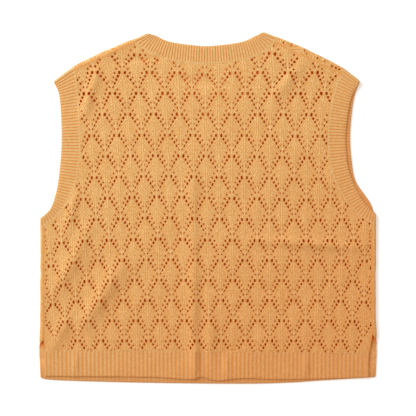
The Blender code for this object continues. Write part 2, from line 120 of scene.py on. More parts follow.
# Soft ridges of the back, and troughs where the height is below nought: the two ends, the half
# width and the height of each, in millimetres.
RIDGES = (
    (-189, -32, -243, -136, 12, 5.4), (-140, -92, -199, -188, 12.8, 6.6),
    (-220, -168, -247, -218, 11, 5.4), (-24, -60, -24, -262, 8.5, 4.4), (4, -150, 4, -262, 10.4, 2.9),
    (72, -51, 248, -64, 8.1, 4.4), (-209, 26, -231, -52, 8.5, 3.4), (-199, 148, -175, 226, 7.6, 4.6),
    (-157, 235, -72, 240, 6.2, -2.3), (152, 234, 106, 178, 8.9, 3.9), (-25, 62, -25, -60, 8.9, 2.7),
    (-60, 206, 30, 198, 8.9, -2.1), (-20, -215, -20, -275, 6.2, 3.9), (30, -238, 31, -268, 5.7, 2.7),
    (156, -238, 157, -268, 5.7, 3.4), (-210, -236, -214, -266, 6.2, 2.4),
)
RIPPLE = 0.9 * MM
RIPPLE_ACROSS = 26 * MM
RIPPLE_ALONG = 95 * MM
RIDGE_ENDS = 0.15  # where in its swell a ridge starts and ends
WAVER = 1.1 * MM  # how far the folded edges waver in and out
WAVER_LENGTH = 21 * MM
SHOULDER_BULGE = 2.1 * MM

# The lace: half-drop diamonds, each under a pair of eyelets.
STITCHES = 12  # across one diamond
ROWS = 12  # from one line of pairs to the next
FIRST_LINE = 216.8  # mm, the first whole line of pairs below the neck
LINE_DROP = 33.6  # mm from line to line, down to the loose lines near the hem
LOOSE_LINE = 8
LOOSE_EASE = 1.5
LACE_WIDTH = 41.0  # mm, one diamond
LACE_NARROWS = 0.16  # mm, how much narrower it gets from line to line
NECK_WIDENS = 3.4  # mm, how much wider the diamonds lie below the neck
NECK_FADE = 1.7  # lines, over which that fades
CHART_MIDDLE = -4.9  # mm, the middle of the chart on the first line
CHART_LEAN = 0.52  # mm, how far it moves from line to line
SIDE_DRAW = 0.0006  # how much narrower the diamonds lie towards the sides
TOP_DRAW = -0.0083  # and how much wider in the line above the first
TOP_CLOSE = 3.4  # mm, how much narrower that line's middle diamonds are
SPINE_HALF = 0.17  # how far from a leaf's middle the upright wales reach
VEIN_PLACE = 0.17  # where the veins run, between the two rows of an arm
LACE_RIM = 1.5 * MM
EDGE_WALL = 2.1 * MM  # the front's thickness at its open edges
LINING_STARTS = 248 * MM
LINING_RISE = 10 * MM
LIP = 0.3 * MM  # how far a hole's edge rounds over before it turns down
LIP_DROP = 0.12 * MM
KEEP_OUT = 1.12  # how near the stitches may come to a hole, in its own half sizes
HOLE_START = 0.5 * MM  # the small opening that is then eased to a hole's own size
EDGE_MARGIN = 2.2 * MM  # lace without holes along the panels' edges
FOLD_MARGIN = 8 * MM  # and along the folds of the front
PLAIN_BELOW = -205 * MM  # the plain corners beside the slits
PLAIN_LEFT = -232 * MM
PLAIN_RIGHT = 247 * MM
STRAY_APART = 3.6 * MM
HOLE_SIZES = (0.86, 1.12)  # how the holes' sizes spread
HOLE_TURN = 7  # degrees, and how much their leans do
SNAP = 5 * MM  # how far the net's edge may move to the outline
EVEN_OUT = 0.35  # how strongly the stitches round the holes are evened out
EVEN_ROUNDS = 3
PULLED_OPEN = 0.3  # how much wider the holes are pulled near the shoulders
PULLED_FROM_X = 15 * MM
PULLED_FROM_Y = 130 * MM
PULLED_REACH = 60 * MM
HOLE_APART = 3.8 * MM  # from a hole of the back to the nearest one of the front
FRONT_SHIFT = (1.25, 4.0)  # stitches and rows, from the back's chart to the front's
LEAF_RISE = 0.3 * MM
SEAM_RISE = 0.55 * MM
SEAM_REACH = 2.4 * MM
BAKE_WIDTH = 0.62  # m, the square that the lace's baking map covers
BAKE_RIM = 0.4  # how far the walls of the holes and of the edges are drawn aside on it
BAKE_WALL = 1.006
LINING_SHADE = 0.4
NECK_PITCH = 4.3 * MM  # from rib to rib
ARM_PITCH = 4.8 * MM
HEM_PITCH = 6.5 * MM
RIB_ROW = 2.4  # mm, the height of a row of the ribs
RIB_HEIGHT = 0.75 * MM
GROOVE_SHARE = 0.6  # of a rib's height, below the face of the band
BAND_SHARPNESS = 1.1  # how narrow the ribs are beside their grooves
HEM_SHARPNESS = 1.8
HEM_HEIGHT = 40.0  # mm
HEM_ENDS = (0.0, 0.15, 0.6, 1.2)  # mm, the first corners of a hem rib from its end
HEM_END_ROUND = 1.2 * MM
HEM_PLAIN_END = 11.5 * MM
HEM_PLAIN_FADE = 3 * MM
HEM_ROLL = 0.45 * MM  # the rolled edge of the plain end
HEM_ROLL_PLACE = 1.8 * MM
HEM_ROLL_WIDTH = 1.2 * MM
CORNER_RADIUS = 3 * MM

LACE_PALE = (0.82, 0.59, 0.265, 1)
LACE_DEEP = (0.67, 0.408, 0.14, 1)
# painted shade: the colour laid into the gaps between stitches, the rib grooves and the lines along the
# panels' edges
LACE_GAP_SHADE = (0.66, 0.25, 0.045, 1)
# painted highlight on the holes' rounded edges and on the raised veins
LACE_PAINTED_HIGHLIGHT = (1.0, 0.66, 0.31, 1)
BAND_PALE = (0.725, 0.48, 0.215, 1)
BAND_DEEP = (0.635, 0.385, 0.14, 1)
HEM_PALE = (0.735, 0.475, 0.205, 1)
HEM_DEEP = (0.635, 0.38, 0.14, 1)
BAND_GROOVE_SHADE = 0.8  # how deep the painted shade in the grooves is
HEM_GROOVE_SHADE = 0.66
# painted shade: the yarn grows deeper and warmer towards the lower right, where the light falls off
LOWER_RIGHT_SHADE = (0.94, 0.75, 0.70, 1)
# painted deep shade and glow of the cloth where it lies hidden: hole walls and inner sides
HOLE_GLOW = (0.64, 0.11, 0.0, 1)
GLOW_STRENGTH = 0.16  # light that soaks through the yarn into the holes
PAPER = (0.92, 0.92, 0.92, 1)
COVERED_PAPER = (0.75, 0.14, 0.02, 1)  # what little light reaches it has come through the yarn
PAPER_LIFT = 0.3
COVERED_SHADE = 4.0  # how much deeper the neck band's front is in the shade of the back
WARM_SKY = (1.0, 0.86, 0.70, 1)
SKY_STRENGTH = 0.5
YARN_GLOW = (0.5, 0.09, 0.0, 1)
YARN_SURFACE = (
    ("Roughness", 0.92), ("Specular IOR Level", 0.18), ("Sheen Weight", 0.12),
    ("Sheen Roughness", 0.5), ("Emission Strength", GLOW_STRENGTH),
)
PAPER_SURFACE = (("Roughness", 1.0), ("Specular IOR Level", 0.0))
PAPER_HALF = 6.0  # m
PAPER_DROP = 0.3 * MM
COVERED_X = 0.225  # m, the rounded patch of the surface that the garment covers
COVERED_Y = 0.258
LIFT_STARTS = 0.8  # m from the middle, where the surface starts to brighten
LIFT_FULL = 3.0
LAMP_COLOUR = (0.80, 0.893, 1.0)
VIEW_WIDTH = 0.6656  # m, what the camera takes in at the garment's level
VIEW_LEVEL = 0.004
LENS = 120
SENSOR = 36

# One arm of a pair's eyelets, in stitches and rows from the pair's middle, with half sizes in
# millimetres and a lean in degrees from upright towards the arm's own side.
Eyelet = namedtuple("Eyelet", "stitch row half_width half_height lean")
ARM = table(Eyelet, (
    (1.25, 0, 1.65, 3, -8), (2.22, 2.15, 1.6, 2.2, 0), (3.20, 4.15, 1.5, 2.1, 0),
    (4.20, 6.25, 1.15, 2, 12), (5.22, 8.40, 0.7, 2.1, 28), (2.50, -2.15, 0.8, 1.8, -30),
    (3.35, 0.35, 0.95, 2, -30), (4.30, 2.9, 0.8, 1.7, -30), (5.14, 5.4, 0.6, 1.3, -25),
))

# Where the handling of the cloth has moved the rows, in millimetres: a place, how far the drop
# reaches across and along, and the drop itself.
DROPS = (
    (-240, 40, 45, 150, 3.2), (-262, -112, 42, 50, 11), (-75, -5, 60, 100, -2.8), (150, 50, 60, 75, 3),
    (0, 217, 35, 14, 3.6), (260, -140, 50, 60, 2.5), (-114, 248, 42, 17, 5.8), (128, 243, 50, 17, 6),
)

# Small eyelets that the chart doesn't give, down the side seams and over the shoulder folds: the
# place, half width, half height and lean of each.
SIDE_EYELETS = (
    (-259.8, -35, 0.9, 1.4, 20), (-260.2, -46.4, 0.8, 1.3, 0), (-259.6, -52.8, 0.8, 1.3, 0),
    (-260, -59.2, 0.9, 1.3, 10), (-260.2, -72, 0.7, 1.1, 20), (-259.6, -99.2, 0.8, 1.3, -20),
    (-257.8, -108.8, 1, 1.5, 0), (-258.4, -115.2, 0.9, 1.4, 15), (-259.8, -121, 0.9, 1.3, 15),
    (-260.2, -144, 0.8, 1.3, 20), (-260.2, -158.4, 0.7, 1.2, 0), (-260, -169, 0.8, 1.3, -10),
    (-259.4, -174.6, 0.9, 1.4, 0), (-259.2, -180, 0.9, 1.3, 0), (-260, -185.6, 0.8, 1.3, 10),
    (259.6, -36.5, 0.8, 1.4, -20), (258.8, -42, 0.9, 1.4, 0), (259.4, -47.4, 0.8, 1.3, 10),
    (260, -60, 0.7, 1.2, 0), (258.6, -76, 0.8, 1.4, -15), (259.6, -82, 0.9, 1.4, 0),
    (260, -93, 0.7, 1.2, 0), (259, -110, 0.8, 1.3, 10), (259.6, -116, 0.8, 1.4, 0),
    (260, -137, 0.9, 1.4, -10), (259.4, -151, 0.9, 1.5, 0), (259.6, -161.5, 0.9, 1.5, 0),
    (260, -169, 0.8, 1.3, 0), (260.2, -183.5, 0.8, 1.3, 10),
)
BACK_SHOULDER_EYELETS = (
    (-187.2, 226.4, 0.9, 1.6, 30), (-180, 226.4, 1.3, 2, 20), (-176.4, 232, 1.1, 1.8, 25),
    (-172.8, 237, 1.1, 1.7, 25), (-169, 241.4, 0.9, 1.5, 30), (-164.8, 245, 0.8, 1.2, 30),
)
LEFT_SHOULDER_EYELETS = (
    (-133.6, 259.4, 0.9, 1.2, 60), (-138.2, 258, 0.7, 1, 60), (-165, 250.4, 0.8, 1.2, 60),
    (-206.6, 230.4, 0.8, 1.2, 60),
)
RIGHT_SHOULDER_EYELETS = (
    (121, 264.2, 1.3, 1.6, -60), (133.6, 251.8, 1.3, 1.9, -70), (133.4, 259.8, 0.7, 1.2, -60),
    (155, 250.8, 0.7, 1.3, -60), (157.8, 240.2, 1.1, 1.8, 30), (158.6, 246.2, 0.8, 1.3, -60),
    (176, 238.2, 1.3, 1.5, -60), (187.4, 233.4, 0.7, 1.7, -65), (198.4, 226.4, 1.4, 1.6, -40),
    (204.5, 223.6, 1.4, 1.7, -30), (210, 221.6, 1.2, 1.8, 0),
)

Fold = namedtuple("Fold", "start end outward seam_depth slit_top slit_opens")
BandEnd = namedtuple("BandEnd", "seam seam_outward edge edge_outward")
Band = namedtuple("Band", "back_seam back_edge front_seam front_edge first_end last_end")


def mm(x, y):
    """A point of the plan, from millimetres."""
    return Vector((x, y)) * MM


def seam_of(row, shift=0):
    return mm(row.seam_x + shift, row.seam_y)


def edge_of(row, shift=0):
    return mm(row.edge_x + shift, row.edge_y)


def smooth_path(points):
    """Points of a smooth curve through the given ones, ends included."""
    path = [points[0]]
    for index in range(len(points) - 1):
        before = points[max(index - 1, 0)]
        start, end = points[index], points[index + 1]
        after = points[min(index + 2, len(points) - 1)]
        for step in range(1, PATH_STEPS + 1):
            t = step / PATH_STEPS
            a = -t ** 3 + 2 * t ** 2 - t
            b = 3 * t ** 3 - 5 * t ** 2 + 2
            c = -3 * t ** 3 + 4 * t ** 2 + t
            d = t ** 3 - t ** 2
            path.append((before * a + start * b + end * c + after * d) / 2)
    return path


def ease(value):
    """A smooth step from 0 to 1."""
    value = min(max(value, 0.0), 1.0)
    return value * value * (3 - 2 * value)


def outward_of(start, end):
    """The unit normal of a stretch of the outline, away from the garment."""
    along = (end - start).normalized()
    normal = Vector((-along.y, along.x))
    return normal if normal.dot(start + end) > 0 else -normal


def make_fold(start, end, seam_inset, slit_top=None, slit_opens=None):
    """The line where the cloth starts to turn, under a straight stretch of the outline."""
    outward = outward_of(start, end)
    return Fold(start - outward * FOLD_INSET, end - outward * FOLD_INSET, outward,
                seam_inset - FOLD_INSET, slit_top, slit_opens)


def make_side_fold(x, rows, slit_top, slit_opens):
    """The fold down one side, from the armhole to the top of the slit."""
    top, bottom = Vector((x, rows[-1].seam_y * MM)), Vector((x, slit_top))
    return make_fold(top, bottom, HALF_BODY - SIDE_SEAM, slit_top, slit_opens)


def make_band_end(row, panel_fold):
    """Where a band turns over: its seam turns with the panel and its edge about its own line."""
    seam, edge = seam_of(row), edge_of(row)
    outward = outward_of(seam, edge)
    return BandEnd(seam - panel_fold.outward * FOLD_INSET, panel_fold.outward,
                   edge - outward * FOLD_INSET, outward)


def between_ends(ends, rows, shifted=0):
    """A band's seam and edge, which are shifted on the front."""
    seams = [seam_of(row, shifted * row.front_shift) for row in rows[1:-1]]
    edges = [edge_of(row, shifted * row.front_shift) for row in rows[1:-1]]
    first, last = ends
    return (smooth_path([first.seam] + seams + [last.seam]),
            smooth_path([first.edge] + edges + [last.edge]))


def make_armhole(rows, shoulder_fold, side_fold):
    """The band round an armhole, from its table."""
    ends = make_band_end(rows[0], shoulder_fold), make_band_end(rows[-1], side_fold)
    return Band(*between_ends(ends, rows), *between_ends(ends, rows, 1), *ends)


def scoop(left, right, depth):
    """A half ellipse that hangs from two points of the shoulder folds."""
    count = PATH_STEPS * (len(NECK_BACK) - 1)
    path = []
    for index in range(count + 1):
        angle = math.pi * index / count
        across = (1 - math.cos(angle)) / 2
        path.append(left.lerp(right, across) - Vector((0, depth * math.sin(angle))))
    return path


def make_collar(left_fold, right_fold):
    """The band round the neck: the table gives its back, and its front is scooped."""
    left, right = make_band_end(NECK_BACK[0], left_fold), make_band_end(NECK_BACK[-1], right_fold)
    return Band(*between_ends((left, right), NECK_BACK),
                scoop(left.seam, right.seam, FRONT_NECK_DEPTH + NECK_BAND_WIDTH),
                scoop(left.edge, right.edge, FRONT_NECK_DEPTH), left, right)


LEFT_SHOULDER = make_fold(seam_of(NECK_BACK[0]), seam_of(ARMHOLE_LEFT[0]), SHOULDER_SEAM_LEFT)
RIGHT_SHOULDER = make_fold(seam_of(NECK_BACK[-1]), seam_of(ARMHOLE_RIGHT[0]), SHOULDER_SEAM_RIGHT)
LEFT_SIDE = make_side_fold(-HALF_BODY, ARMHOLE_LEFT, SLIT_TOP_LEFT, SLIT_OPENS_LEFT)
RIGHT_SIDE = make_side_fold(HALF_BODY, ARMHOLE_RIGHT, SLIT_TOP_RIGHT, SLIT_OPENS_RIGHT)
FOLDS = (LEFT_SIDE, RIGHT_SIDE, LEFT_SHOULDER, RIGHT_SHOULDER)
COLLAR = make_collar(LEFT_SHOULDER, RIGHT_SHOULDER)
LEFT_ARMHOLE = make_armhole(ARMHOLE_LEFT, LEFT_SHOULDER, LEFT_SIDE)
RIGHT_ARMHOLE = make_armhole(ARMHOLE_RIGHT, RIGHT_SHOULDER, RIGHT_SIDE)
FOLD_LINES = [(fold.start, fold.end) for fold in FOLDS]
FOLD_LINES += [
    (end.seam, end.edge)
    for band in (COLLAR, LEFT_ARMHOLE, RIGHT_ARMHOLE)
    for end in (band.first_end, band.last_end)
]
RIDGE_LINES = [tuple(number * MM for number in row) for row in RIDGES]
SHOULDER_SEAMS = [
    (fold.start - fold.outward * fold.seam_depth, fold.end - fold.outward * fold.seam_depth)
    for fold in (LEFT_SHOULDER, RIGHT_SHOULDER)
]


def distance_to(x, y, start, end):
    """How far a point lies from a stretch, and its share of the way along."""
    along_x = end[0] - start[0]
    along_y = end[1] - start[1]
    from_x = x - start[0]
    from_y = y - start[1]
    length_squared = along_x * along_x + along_y * along_y
    place = (from_x * along_x + from_y * along_y) / length_squared
    place = min(max(place, 0.0), 1.0)
    return math.hypot(from_x - along_x * place, from_y - along_y * place), place


def relief(point):
    """How much higher than flat the back lies: its puffed folds, ridges and ripples."""
    x, y = point.x, point.y
    nearest = min(distance_to(x, y, start, end)[0] for start, end in FOLD_LINES)
    puff = math.exp(-nearest / PUFF_REACH)
    ridges = 0.0
    for start_x, start_y, end_x, end_y, half_width, height in RIDGE_LINES:
        off, place = distance_to(x, y, (start_x, start_y), (end_x, end_y))
        if off < 3 * half_width:
            fade = math.sin(math.pi * (RIDGE_ENDS + (1 - 2 * RIDGE_ENDS) * place))
            ridges += height * fade * math.exp(-(off / half_width) ** 2)
    across = (x - y) / math.sqrt(2) / RIPPLE_ACROSS
    along = (x + y) / math.sqrt(2) / RIPPLE_ALONG
    ridges += RIPPLE * noise.noise(Vector((across, along, 0.3)))
    return FOLD_PUFF * puff + ridges * (1 - puff)


def seam_rise(point):
    """The soft ridge along the shoulder seams."""
    off = min(distance_to(point.x, point.y, start, end)[0] for start, end in SHOULDER_SEAMS)
    return SEAM_RISE * math.exp(-(off / SEAM_REACH) ** 2)


def waver(point):
    """How far a folded edge swings outwards."""
    x, y = point.x, point.y
    swing = WAVER * noise.noise(Vector((x / WAVER_LENGTH, y / WAVER_LENGTH, 4.7)))
    for fold in (LEFT_SHOULDER, RIGHT_SHOULDER):
        off, share = distance_to(x, y, fold.start, fold.end)
        if off < MM:
            swing += SHOULDER_BULGE * math.sqrt(math.sin(math.pi * share))
    above_slit = (y - SLIT_TOP_LEFT) / SLIT_REACH
    return swing + SLIT_BULGE * math.exp(-above_slit * above_slit)


def on_back(point, inside):
    """A point of the upper layer, so far from mid-cloth towards the garment's inside."""
    return Vector((point.x, point.y, BACK_LEVEL + relief(point) - inside))


def on_front(point, inside):
    """The same for the lower layer."""
    return Vector((point.x, point.y, FRONT_LEVEL + inside))


def on_bend(base, outward, turn, inside):
    """A point of a fold: turn runs from 0 at the lower layer to pi at the upper one."""
    reach = FOLD_RADIUS - inside + waver(base)
    plan = base + outward * reach * math.sin(turn)
    height = FOLD_RADIUS * (1 - math.cos(turn)) + inside * math.cos(turn)
    return Vector((plan.x, plan.y, FRONT_LEVEL + height))


def past_fold(point, fold):
    """How far a point lies past a fold, outwards."""
    return (point - fold.start).dot(fold.outward)


def unfold(point, fold):
    """Where a point of the upper layer lies when the cloth is opened out."""
    return point + fold.outward * (FOLD_ARC - 2 * past_fold(point, fold))


def split_at_seam(path, fold):
    """Splits a path that starts at a fold where it meets the seam inside it."""
    for index in range(1, len(path)):
        before = -past_fold(path[index - 1], fold)
        after = -past_fold(path[index], fold)
        if after >= fold.seam_depth:
            share = (fold.seam_depth - before) / (after - before)
            point = path[index - 1].lerp(path[index], share)
            return path[:index] + [point], [point] + path[index:]
    raise ValueError("The path never meets the seam")


def slit_edge(fold, y):
    """The back's edge beside a side slit, which draws in below the slit's top."""
    drawn_in = fold.slit_opens * ease((fold.slit_top - y) / SLIT_EASE)
    return Vector((fold.outward.x * (SIDE_SEAM - drawn_in), y))


def hem_seam(x):
    """The height at which the back's hem rib starts."""
    return BACK_HEM_SEAM - BACK_HEM_SLANT * x / SIDE_SEAM


def wrap(point, inside):
    """Bends a point of the opened-out front panel to where it lies: less and less down a slit."""
    flat = on_front(point, inside)
    for fold in FOLDS:
        past = past_fold(point, fold)
        if past <= 0:
            continue
        base = point - fold.outward * past
        tightness = 1.0 if fold.slit_top is None else ease((point.y - fold.slit_top) / UNCURL + 1)
        turn = past / FOLD_RADIUS
        if turn <= math.pi:
            folded = on_bend(base, fold.outward, turn, inside)
        else:
            folded = on_back(base - fold.outward * (past - FOLD_ARC), inside)
        return flat.lerp(folded, tightness)
    return flat


# The lace net.

def lace_line(line):
    """A line of pairs, in millimetres: its middle, a diamond's width, and the draw of its sides."""
    above = min(max(-line, 0.0), 1.0)
    wider = NECK_WIDENS * math.exp(-max(line, 0.0) / NECK_FADE)
    width = LACE_WIDTH - LACE_NARROWS * line + wider - TOP_CLOSE * above
    return CHART_MIDDLE + CHART_LEAN * line, width, SIDE_DRAW + TOP_DRAW * above


def row_drop(x, y):
    """How far the rows have dropped about a place, in millimetres."""
    total = 0.0
    for place_x, place_y, reach_x, reach_y, drop in DROPS:
        away = ((x - place_x) / reach_x) ** 2 + ((y - place_y) / reach_y) ** 2
        if away < 9:
            total += drop * math.exp(-away)
    return total


def lace_to_plan(stitch, row):
    """Where a stitch lies, counted from the middle and down from the first line."""
    line = row / ROWS
    across = stitch / STITCHES
    middle, width, draw = lace_line(line)
    x = middle + width * (across - draw * across ** 3)
    y = FIRST_LINE - LINE_DROP * line + LOOSE_EASE * max(line - LOOSE_LINE, 0.0)
    return mm(x, y - row_drop(x, y))


class Outline:
    """A closed outline that can tell what lies in it, and where its edge is near."""

    BAND = 4 * MM

    def __init__(self, points):
        self.bands = {}
        for start, end in zip(points, points[1:] + points[:1]):
            low = math.floor((min(start.y, end.y) - self.BAND) / self.BAND)
            high = math.floor((max(start.y, end.y) + self.BAND) / self.BAND)
            for band in range(low, high + 1):
                self.bands.setdefault(band, []).append((start, end))

    def contains(self, point):
        x, y = point.x, point.y
        inside = False
        for start, end in self.bands.get(math.floor(y / self.BAND), ()):
            if (start.y > y) != (end.y > y):
                if x < start.x + (y - start.y) * (end.x - start.x) / (end.y - start.y):
                    inside = not inside
        return inside

    def nearest(self, point):
        best = (1.0, None)
        for start, end in self.bands.get(math.floor(point.y / self.BAND), ()):
            off, place = distance_to(point.x, point.y, start, end)
            if off < best[0]:
                best = (off, start.lerp(end, place))
        return best


def make_grid(columns, rows):
    net = bmesh.new()
    bmesh.ops.create_grid(net, x_segments=columns, y_segments=rows, size=0.5)
    return net


def grid_places(net, columns, rows):
    """The column and row of each corner of a grid. Layers have to be added before."""
    return {vert: (round((vert.co.x + 0.5) * columns), round((vert.co.y + 0.5) * rows))
            for vert in net.verts}


def lay_net(low, high, outline):
    """A net of stitches between two corners of the chart, trimmed to an outline."""
    size = high[0] - low[0], high[1] - low[1]
    net = make_grid(*size)
    crossings = {}
    for vert, (column, row) in grid_places(net, *size).items():
        crossings[low[0] + column, low[1] + row] = vert
        vert.co = lace_to_plan(low[0] + column, low[1] + row).to_3d()
    outside = [face for face in net.faces if not outline.contains(face.calc_center_median())]
    bmesh.ops.delete(net, geom=outside, context="FACES")
    bmesh.ops.reverse_faces(net, faces=[face for face in net.faces if face.normal.z < 0])
    for vert in net.verts:
        if vert.is_boundary:
            off, place = outline.nearest(vert.co)
            if place is not None and off < SNAP:
                vert.co.xy = place
    return net, crossings


Hole = namedtuple("Hole", "vert centre half_width half_height lean")


def chart_places(low, high, shift):
    """Every eyelet between two corners: its stitch, row, side and row of the table."""
    first_line = math.floor(low[1] / ROWS) - 1
    last_line = math.ceil(high[1] / ROWS) + 1
    reach = math.ceil(max(abs(low[0]), abs(high[0])) / STITCHES) + 1
    for line in range(first_line, last_line + 1):
        for repeat in range(-reach, reach + 1):
            middle = STITCHES * (repeat + (line % 2) / 2)
            for side in (-1, 1):
                for eyelet in ARM:
                    stitch = middle + side * eyelet.stitch + shift[0]
                    yield stitch, line * ROWS + eyelet.row + shift[1], side, eyelet


def find_holes(crossings, outline, wanted, places, dice):
    """The holes of a panel, each at a free crossing of its net."""
    holes = []
    for stitch, row, side, eyelet in places:
        size = dice.uniform(*HOLE_SIZES) * MM
        turn = dice.uniform(-HOLE_TURN, HOLE_TURN)
        centre = lace_to_plan(stitch, row)
        if not outline.contains(centre) or not wanted(centre):
            continue
        vert = crossings.pop((round(stitch), round(row)), None)
        if vert is None or not vert.is_valid or vert.is_boundary:
            continue
        pulled = ease((abs(centre.x) - PULLED_FROM_X) / PULLED_REACH)
        pulled *= ease((centre.y - PULLED_FROM_Y) / PULLED_REACH)
        holes.append(Hole(vert, centre, eyelet.half_width * size * (1 + PULLED_OPEN * pulled),
                          eyelet.half_height * size, math.radians(turn - side * eyelet.lean)))
    return holes


def stray_places(strays, fold=None):
    """The small eyelets beside the seams, each as a place of the chart."""
    for x, y, half_width, half_height, lean in strays:
        point = mm(x, y)
        if fold is not None:
            point = unfold(point, fold)
        yield *plan_to_lace(point), 1, Eyelet(0, 0, half_width, half_height, lean)


def to_hole(hole, point):
    """How far a point lies across a hole and along it, in its own half sizes."""
    away = point - hole.centre
    cos, sin = math.cos(hole.lean), math.sin(hole.lean)
    return Vector(((away.x * cos - away.y * sin) / (hole.half_width + LIP),
                   (away.x * sin + away.y * cos) / (hole.half_height + LIP)))


def from_hole(hole, place):
    """The way back from to_hole."""
    x = place.x * (hole.half_width + LIP)
    y = place.y * (hole.half_height + LIP)
    cos, sin = math.cos(hole.lean), math.sin(hole.lean)
    return hole.centre + Vector((x * cos + y * sin, -x * sin + y * cos))


def tree_of(places):
    tree = kdtree.KDTree(len(places))
    for index, place in enumerate(places):
        tree.insert(place, index)
    tree.balance()
    return tree


def open_holes(net, holes):
    """Opens each hole at its crossing and eases the stitches round it aside."""
    for hole in holes:
        hole.vert.co.xy = hole.centre
    opened = bmesh.ops.bevel(
        net, geom=[hole.vert for hole in holes], offset=HOLE_START, offset_type="OFFSET",
        segments=2, profile=0.5, affect="VERTICES", material=-1,
    )
    bmesh.ops.delete(net, geom=opened["faces"], context="FACES")
    verts = list(net.verts)
    tree = tree_of([vert.co for vert in verts])

    def near(hole, reach, on_rim):
        found = [verts[index] for _, index, _ in tree.find_range(hole.centre.to_3d(), reach)]
        return [vert for vert in found if vert.is_boundary == on_rim]

    rims = [near(hole, 2 * HOLE_START, True) for hole in holes]
    rim_of = {vert: hole for hole, rim in zip(holes, rims) for vert in rim}
    neighbours = []
    for hole, rim in zip(holes, rims):
        place_rim(hole, rim)
        reach = 3 * (max(hole.half_width, hole.half_height) + LIP)
        neighbours.append(near(hole, reach, False))
        for vert in neighbours[-1]:
            place = to_hole(hole, vert.co.xy)
            vert.co.xy = from_hole(hole, place * ((place.length ** 3 + 1) ** (1 / 3) / place.length))
    free = list({vert for around in neighbours for vert in around})
    for _ in range(EVEN_ROUNDS):
        bmesh.ops.smooth_vert(net, verts=free, factor=EVEN_OUT, use_axis_x=True, use_axis_y=True)
        for hole, around in zip(holes, neighbours):
            for vert in around:
                place = to_hole(hole, vert.co.xy)
                if place.length < KEEP_OUT:
                    vert.co.xy = from_hole(hole, place * (KEEP_OUT / place.length))
    return rim_of


def place_rim(hole, rim):
    """Spaces the corners of a hole's edge evenly round it."""
    angles = []
    for vert in rim:
        place = to_hole(hole, vert.co.xy)
        angles.append((math.atan2(place.y, place.x), vert))
    angles.sort(key=lambda pair: pair[0])
    step = 2 * math.pi / len(angles)
    start = sum(angle - number * step for number, (angle, _) in enumerate(angles)) / len(angles)
    for number, (_, vert) in enumerate(angles):
        angle = start + number * step
        vert.co.xy = from_hole(hole, Vector((math.cos(angle), math.sin(angle))))


def neighbours_of(vert):
    return (edge.other_vert(vert) for edge in vert.link_edges)


def verts_in(parts):
    return [part for part in parts if isinstance(part, bmesh.types.BMVert)]


def turn_down_rims(net, rim_of, edge_depth):
    """Rounds each hole's edge over and turns every open edge of the cloth down."""
    round_over = [edge for edge in net.edges if edge.is_boundary and edge.verts[0] in rim_of]
    lip = bmesh.ops.extrude_edge_only(net, edges=round_over)
    for vert in verts_in(lip["geom"]):
        hole = next(rim_of[other] for other in neighbours_of(vert) if other in rim_of)
        place = to_hole(hole, vert.co.xy)
        place.x *= hole.half_width / (hole.half_width + LIP)
        place.y *= hole.half_height / (hole.half_height + LIP)
        vert.co.xy = from_hole(hole, place)
        vert.co.z = -LIP_DROP
        rim_of[vert] = hole
    edges = [edge for edge in net.edges if edge.is_boundary]
    wall = bmesh.ops.extrude_edge_only(net, edges=edges)
    for vert in verts_in(wall["geom"]):
        vert.co.z = -edge_depth
        above = next((other for other in neighbours_of(vert) if other in rim_of), None)
        if above is not None:
            rim_of[vert] = rim_of[above]
            vert.co.z = -LACE_RIM
    for edge in edges:
        edge.smooth = edge.verts[0] in rim_of


def leaf_rise(point, outline):
    """How far the middle of a leaf swells, away from the panel's edges."""
    stitch, row = plan_to_lace(point)
    across, down = stitch / STITCHES, row / ROWS / 2
    a, b = (down + across + VEIN_PLACE) % 1, (down - across + VEIN_PLACE) % 1
    swell = math.sqrt(16 * a * (1 - a) * b * (1 - b))
    return LEAF_RISE * swell * ease(outline.nearest(point)[0] / EDGE_MARGIN - 0.6)


def cut_between(path, first, last):
    """The part of a path between the seams that lie inside two folds."""
    path = split_at_seam(path, first)[1]
    return split_at_seam(path[::-1], last)[1][::-1]


def back_panel_outline():
    """The back panel's outline, counterclockwise."""
    def slit_points(fold):
        low = hem_seam(fold.outward.x * SIDE_SEAM)
        drop = (low - fold.slit_top) / SLIT_STEPS
        return [slit_edge(fold, fold.slit_top + drop * step) for step in range(SLIT_STEPS + 1)]

    return (
        cut_between(LEFT_ARMHOLE.back_seam, LEFT_SHOULDER, LEFT_SIDE)
        + slit_points(LEFT_SIDE)
        + slit_points(RIGHT_SIDE)[::-1]
        + cut_between(RIGHT_ARMHOLE.back_seam, RIGHT_SHOULDER, RIGHT_SIDE)[::-1]
        + cut_between(COLLAR.back_seam, LEFT_SHOULDER, RIGHT_SHOULDER)[::-1]
    )


def front_panel_outline():
    """The front panel's outline, opened out flat past its folds."""
    side_reach = HALF_BODY - FOLD_INSET + FOLD_ARC + LEFT_SIDE.seam_depth

    def tip(path, fold):
        return split_at_seam(path, fold)[0]

    def shoulder_wrap(fold, from_path, to_path):
        return [unfold(point, fold) for point in tip(from_path, fold) + tip(to_path, fold)[::-1]]

    def side_edge(fold, armhole):
        side = fold.outward.x
        edge = [Vector((side * VENT_HALF_WIDTH, FRONT_HEM_SEAM))]
        for step in range(UNCURL_STEPS + 1):
            share = step / UNCURL_STEPS
            reach = VENT_HALF_WIDTH + (side_reach - VENT_HALF_WIDTH) * ease(share)
            edge.append(Vector((side * reach, fold.slit_top + UNCURL * (share - 1))))
        return edge + [unfold(point, fold) for point in tip(armhole.back_seam[::-1], fold)[::-1]]

    return (
        side_edge(RIGHT_SIDE, RIGHT_ARMHOLE)
        + RIGHT_ARMHOLE.front_seam[::-1]
        + shoulder_wrap(RIGHT_SHOULDER, RIGHT_ARMHOLE.back_seam, COLLAR.back_seam[::-1])
        + COLLAR.front_seam[::-1]
        + shoulder_wrap(LEFT_SHOULDER, COLLAR.back_seam, LEFT_ARMHOLE.back_seam)
        + LEFT_ARMHOLE.front_seam
        + side_edge(LEFT_SIDE, LEFT_ARMHOLE)[::-1]
    )


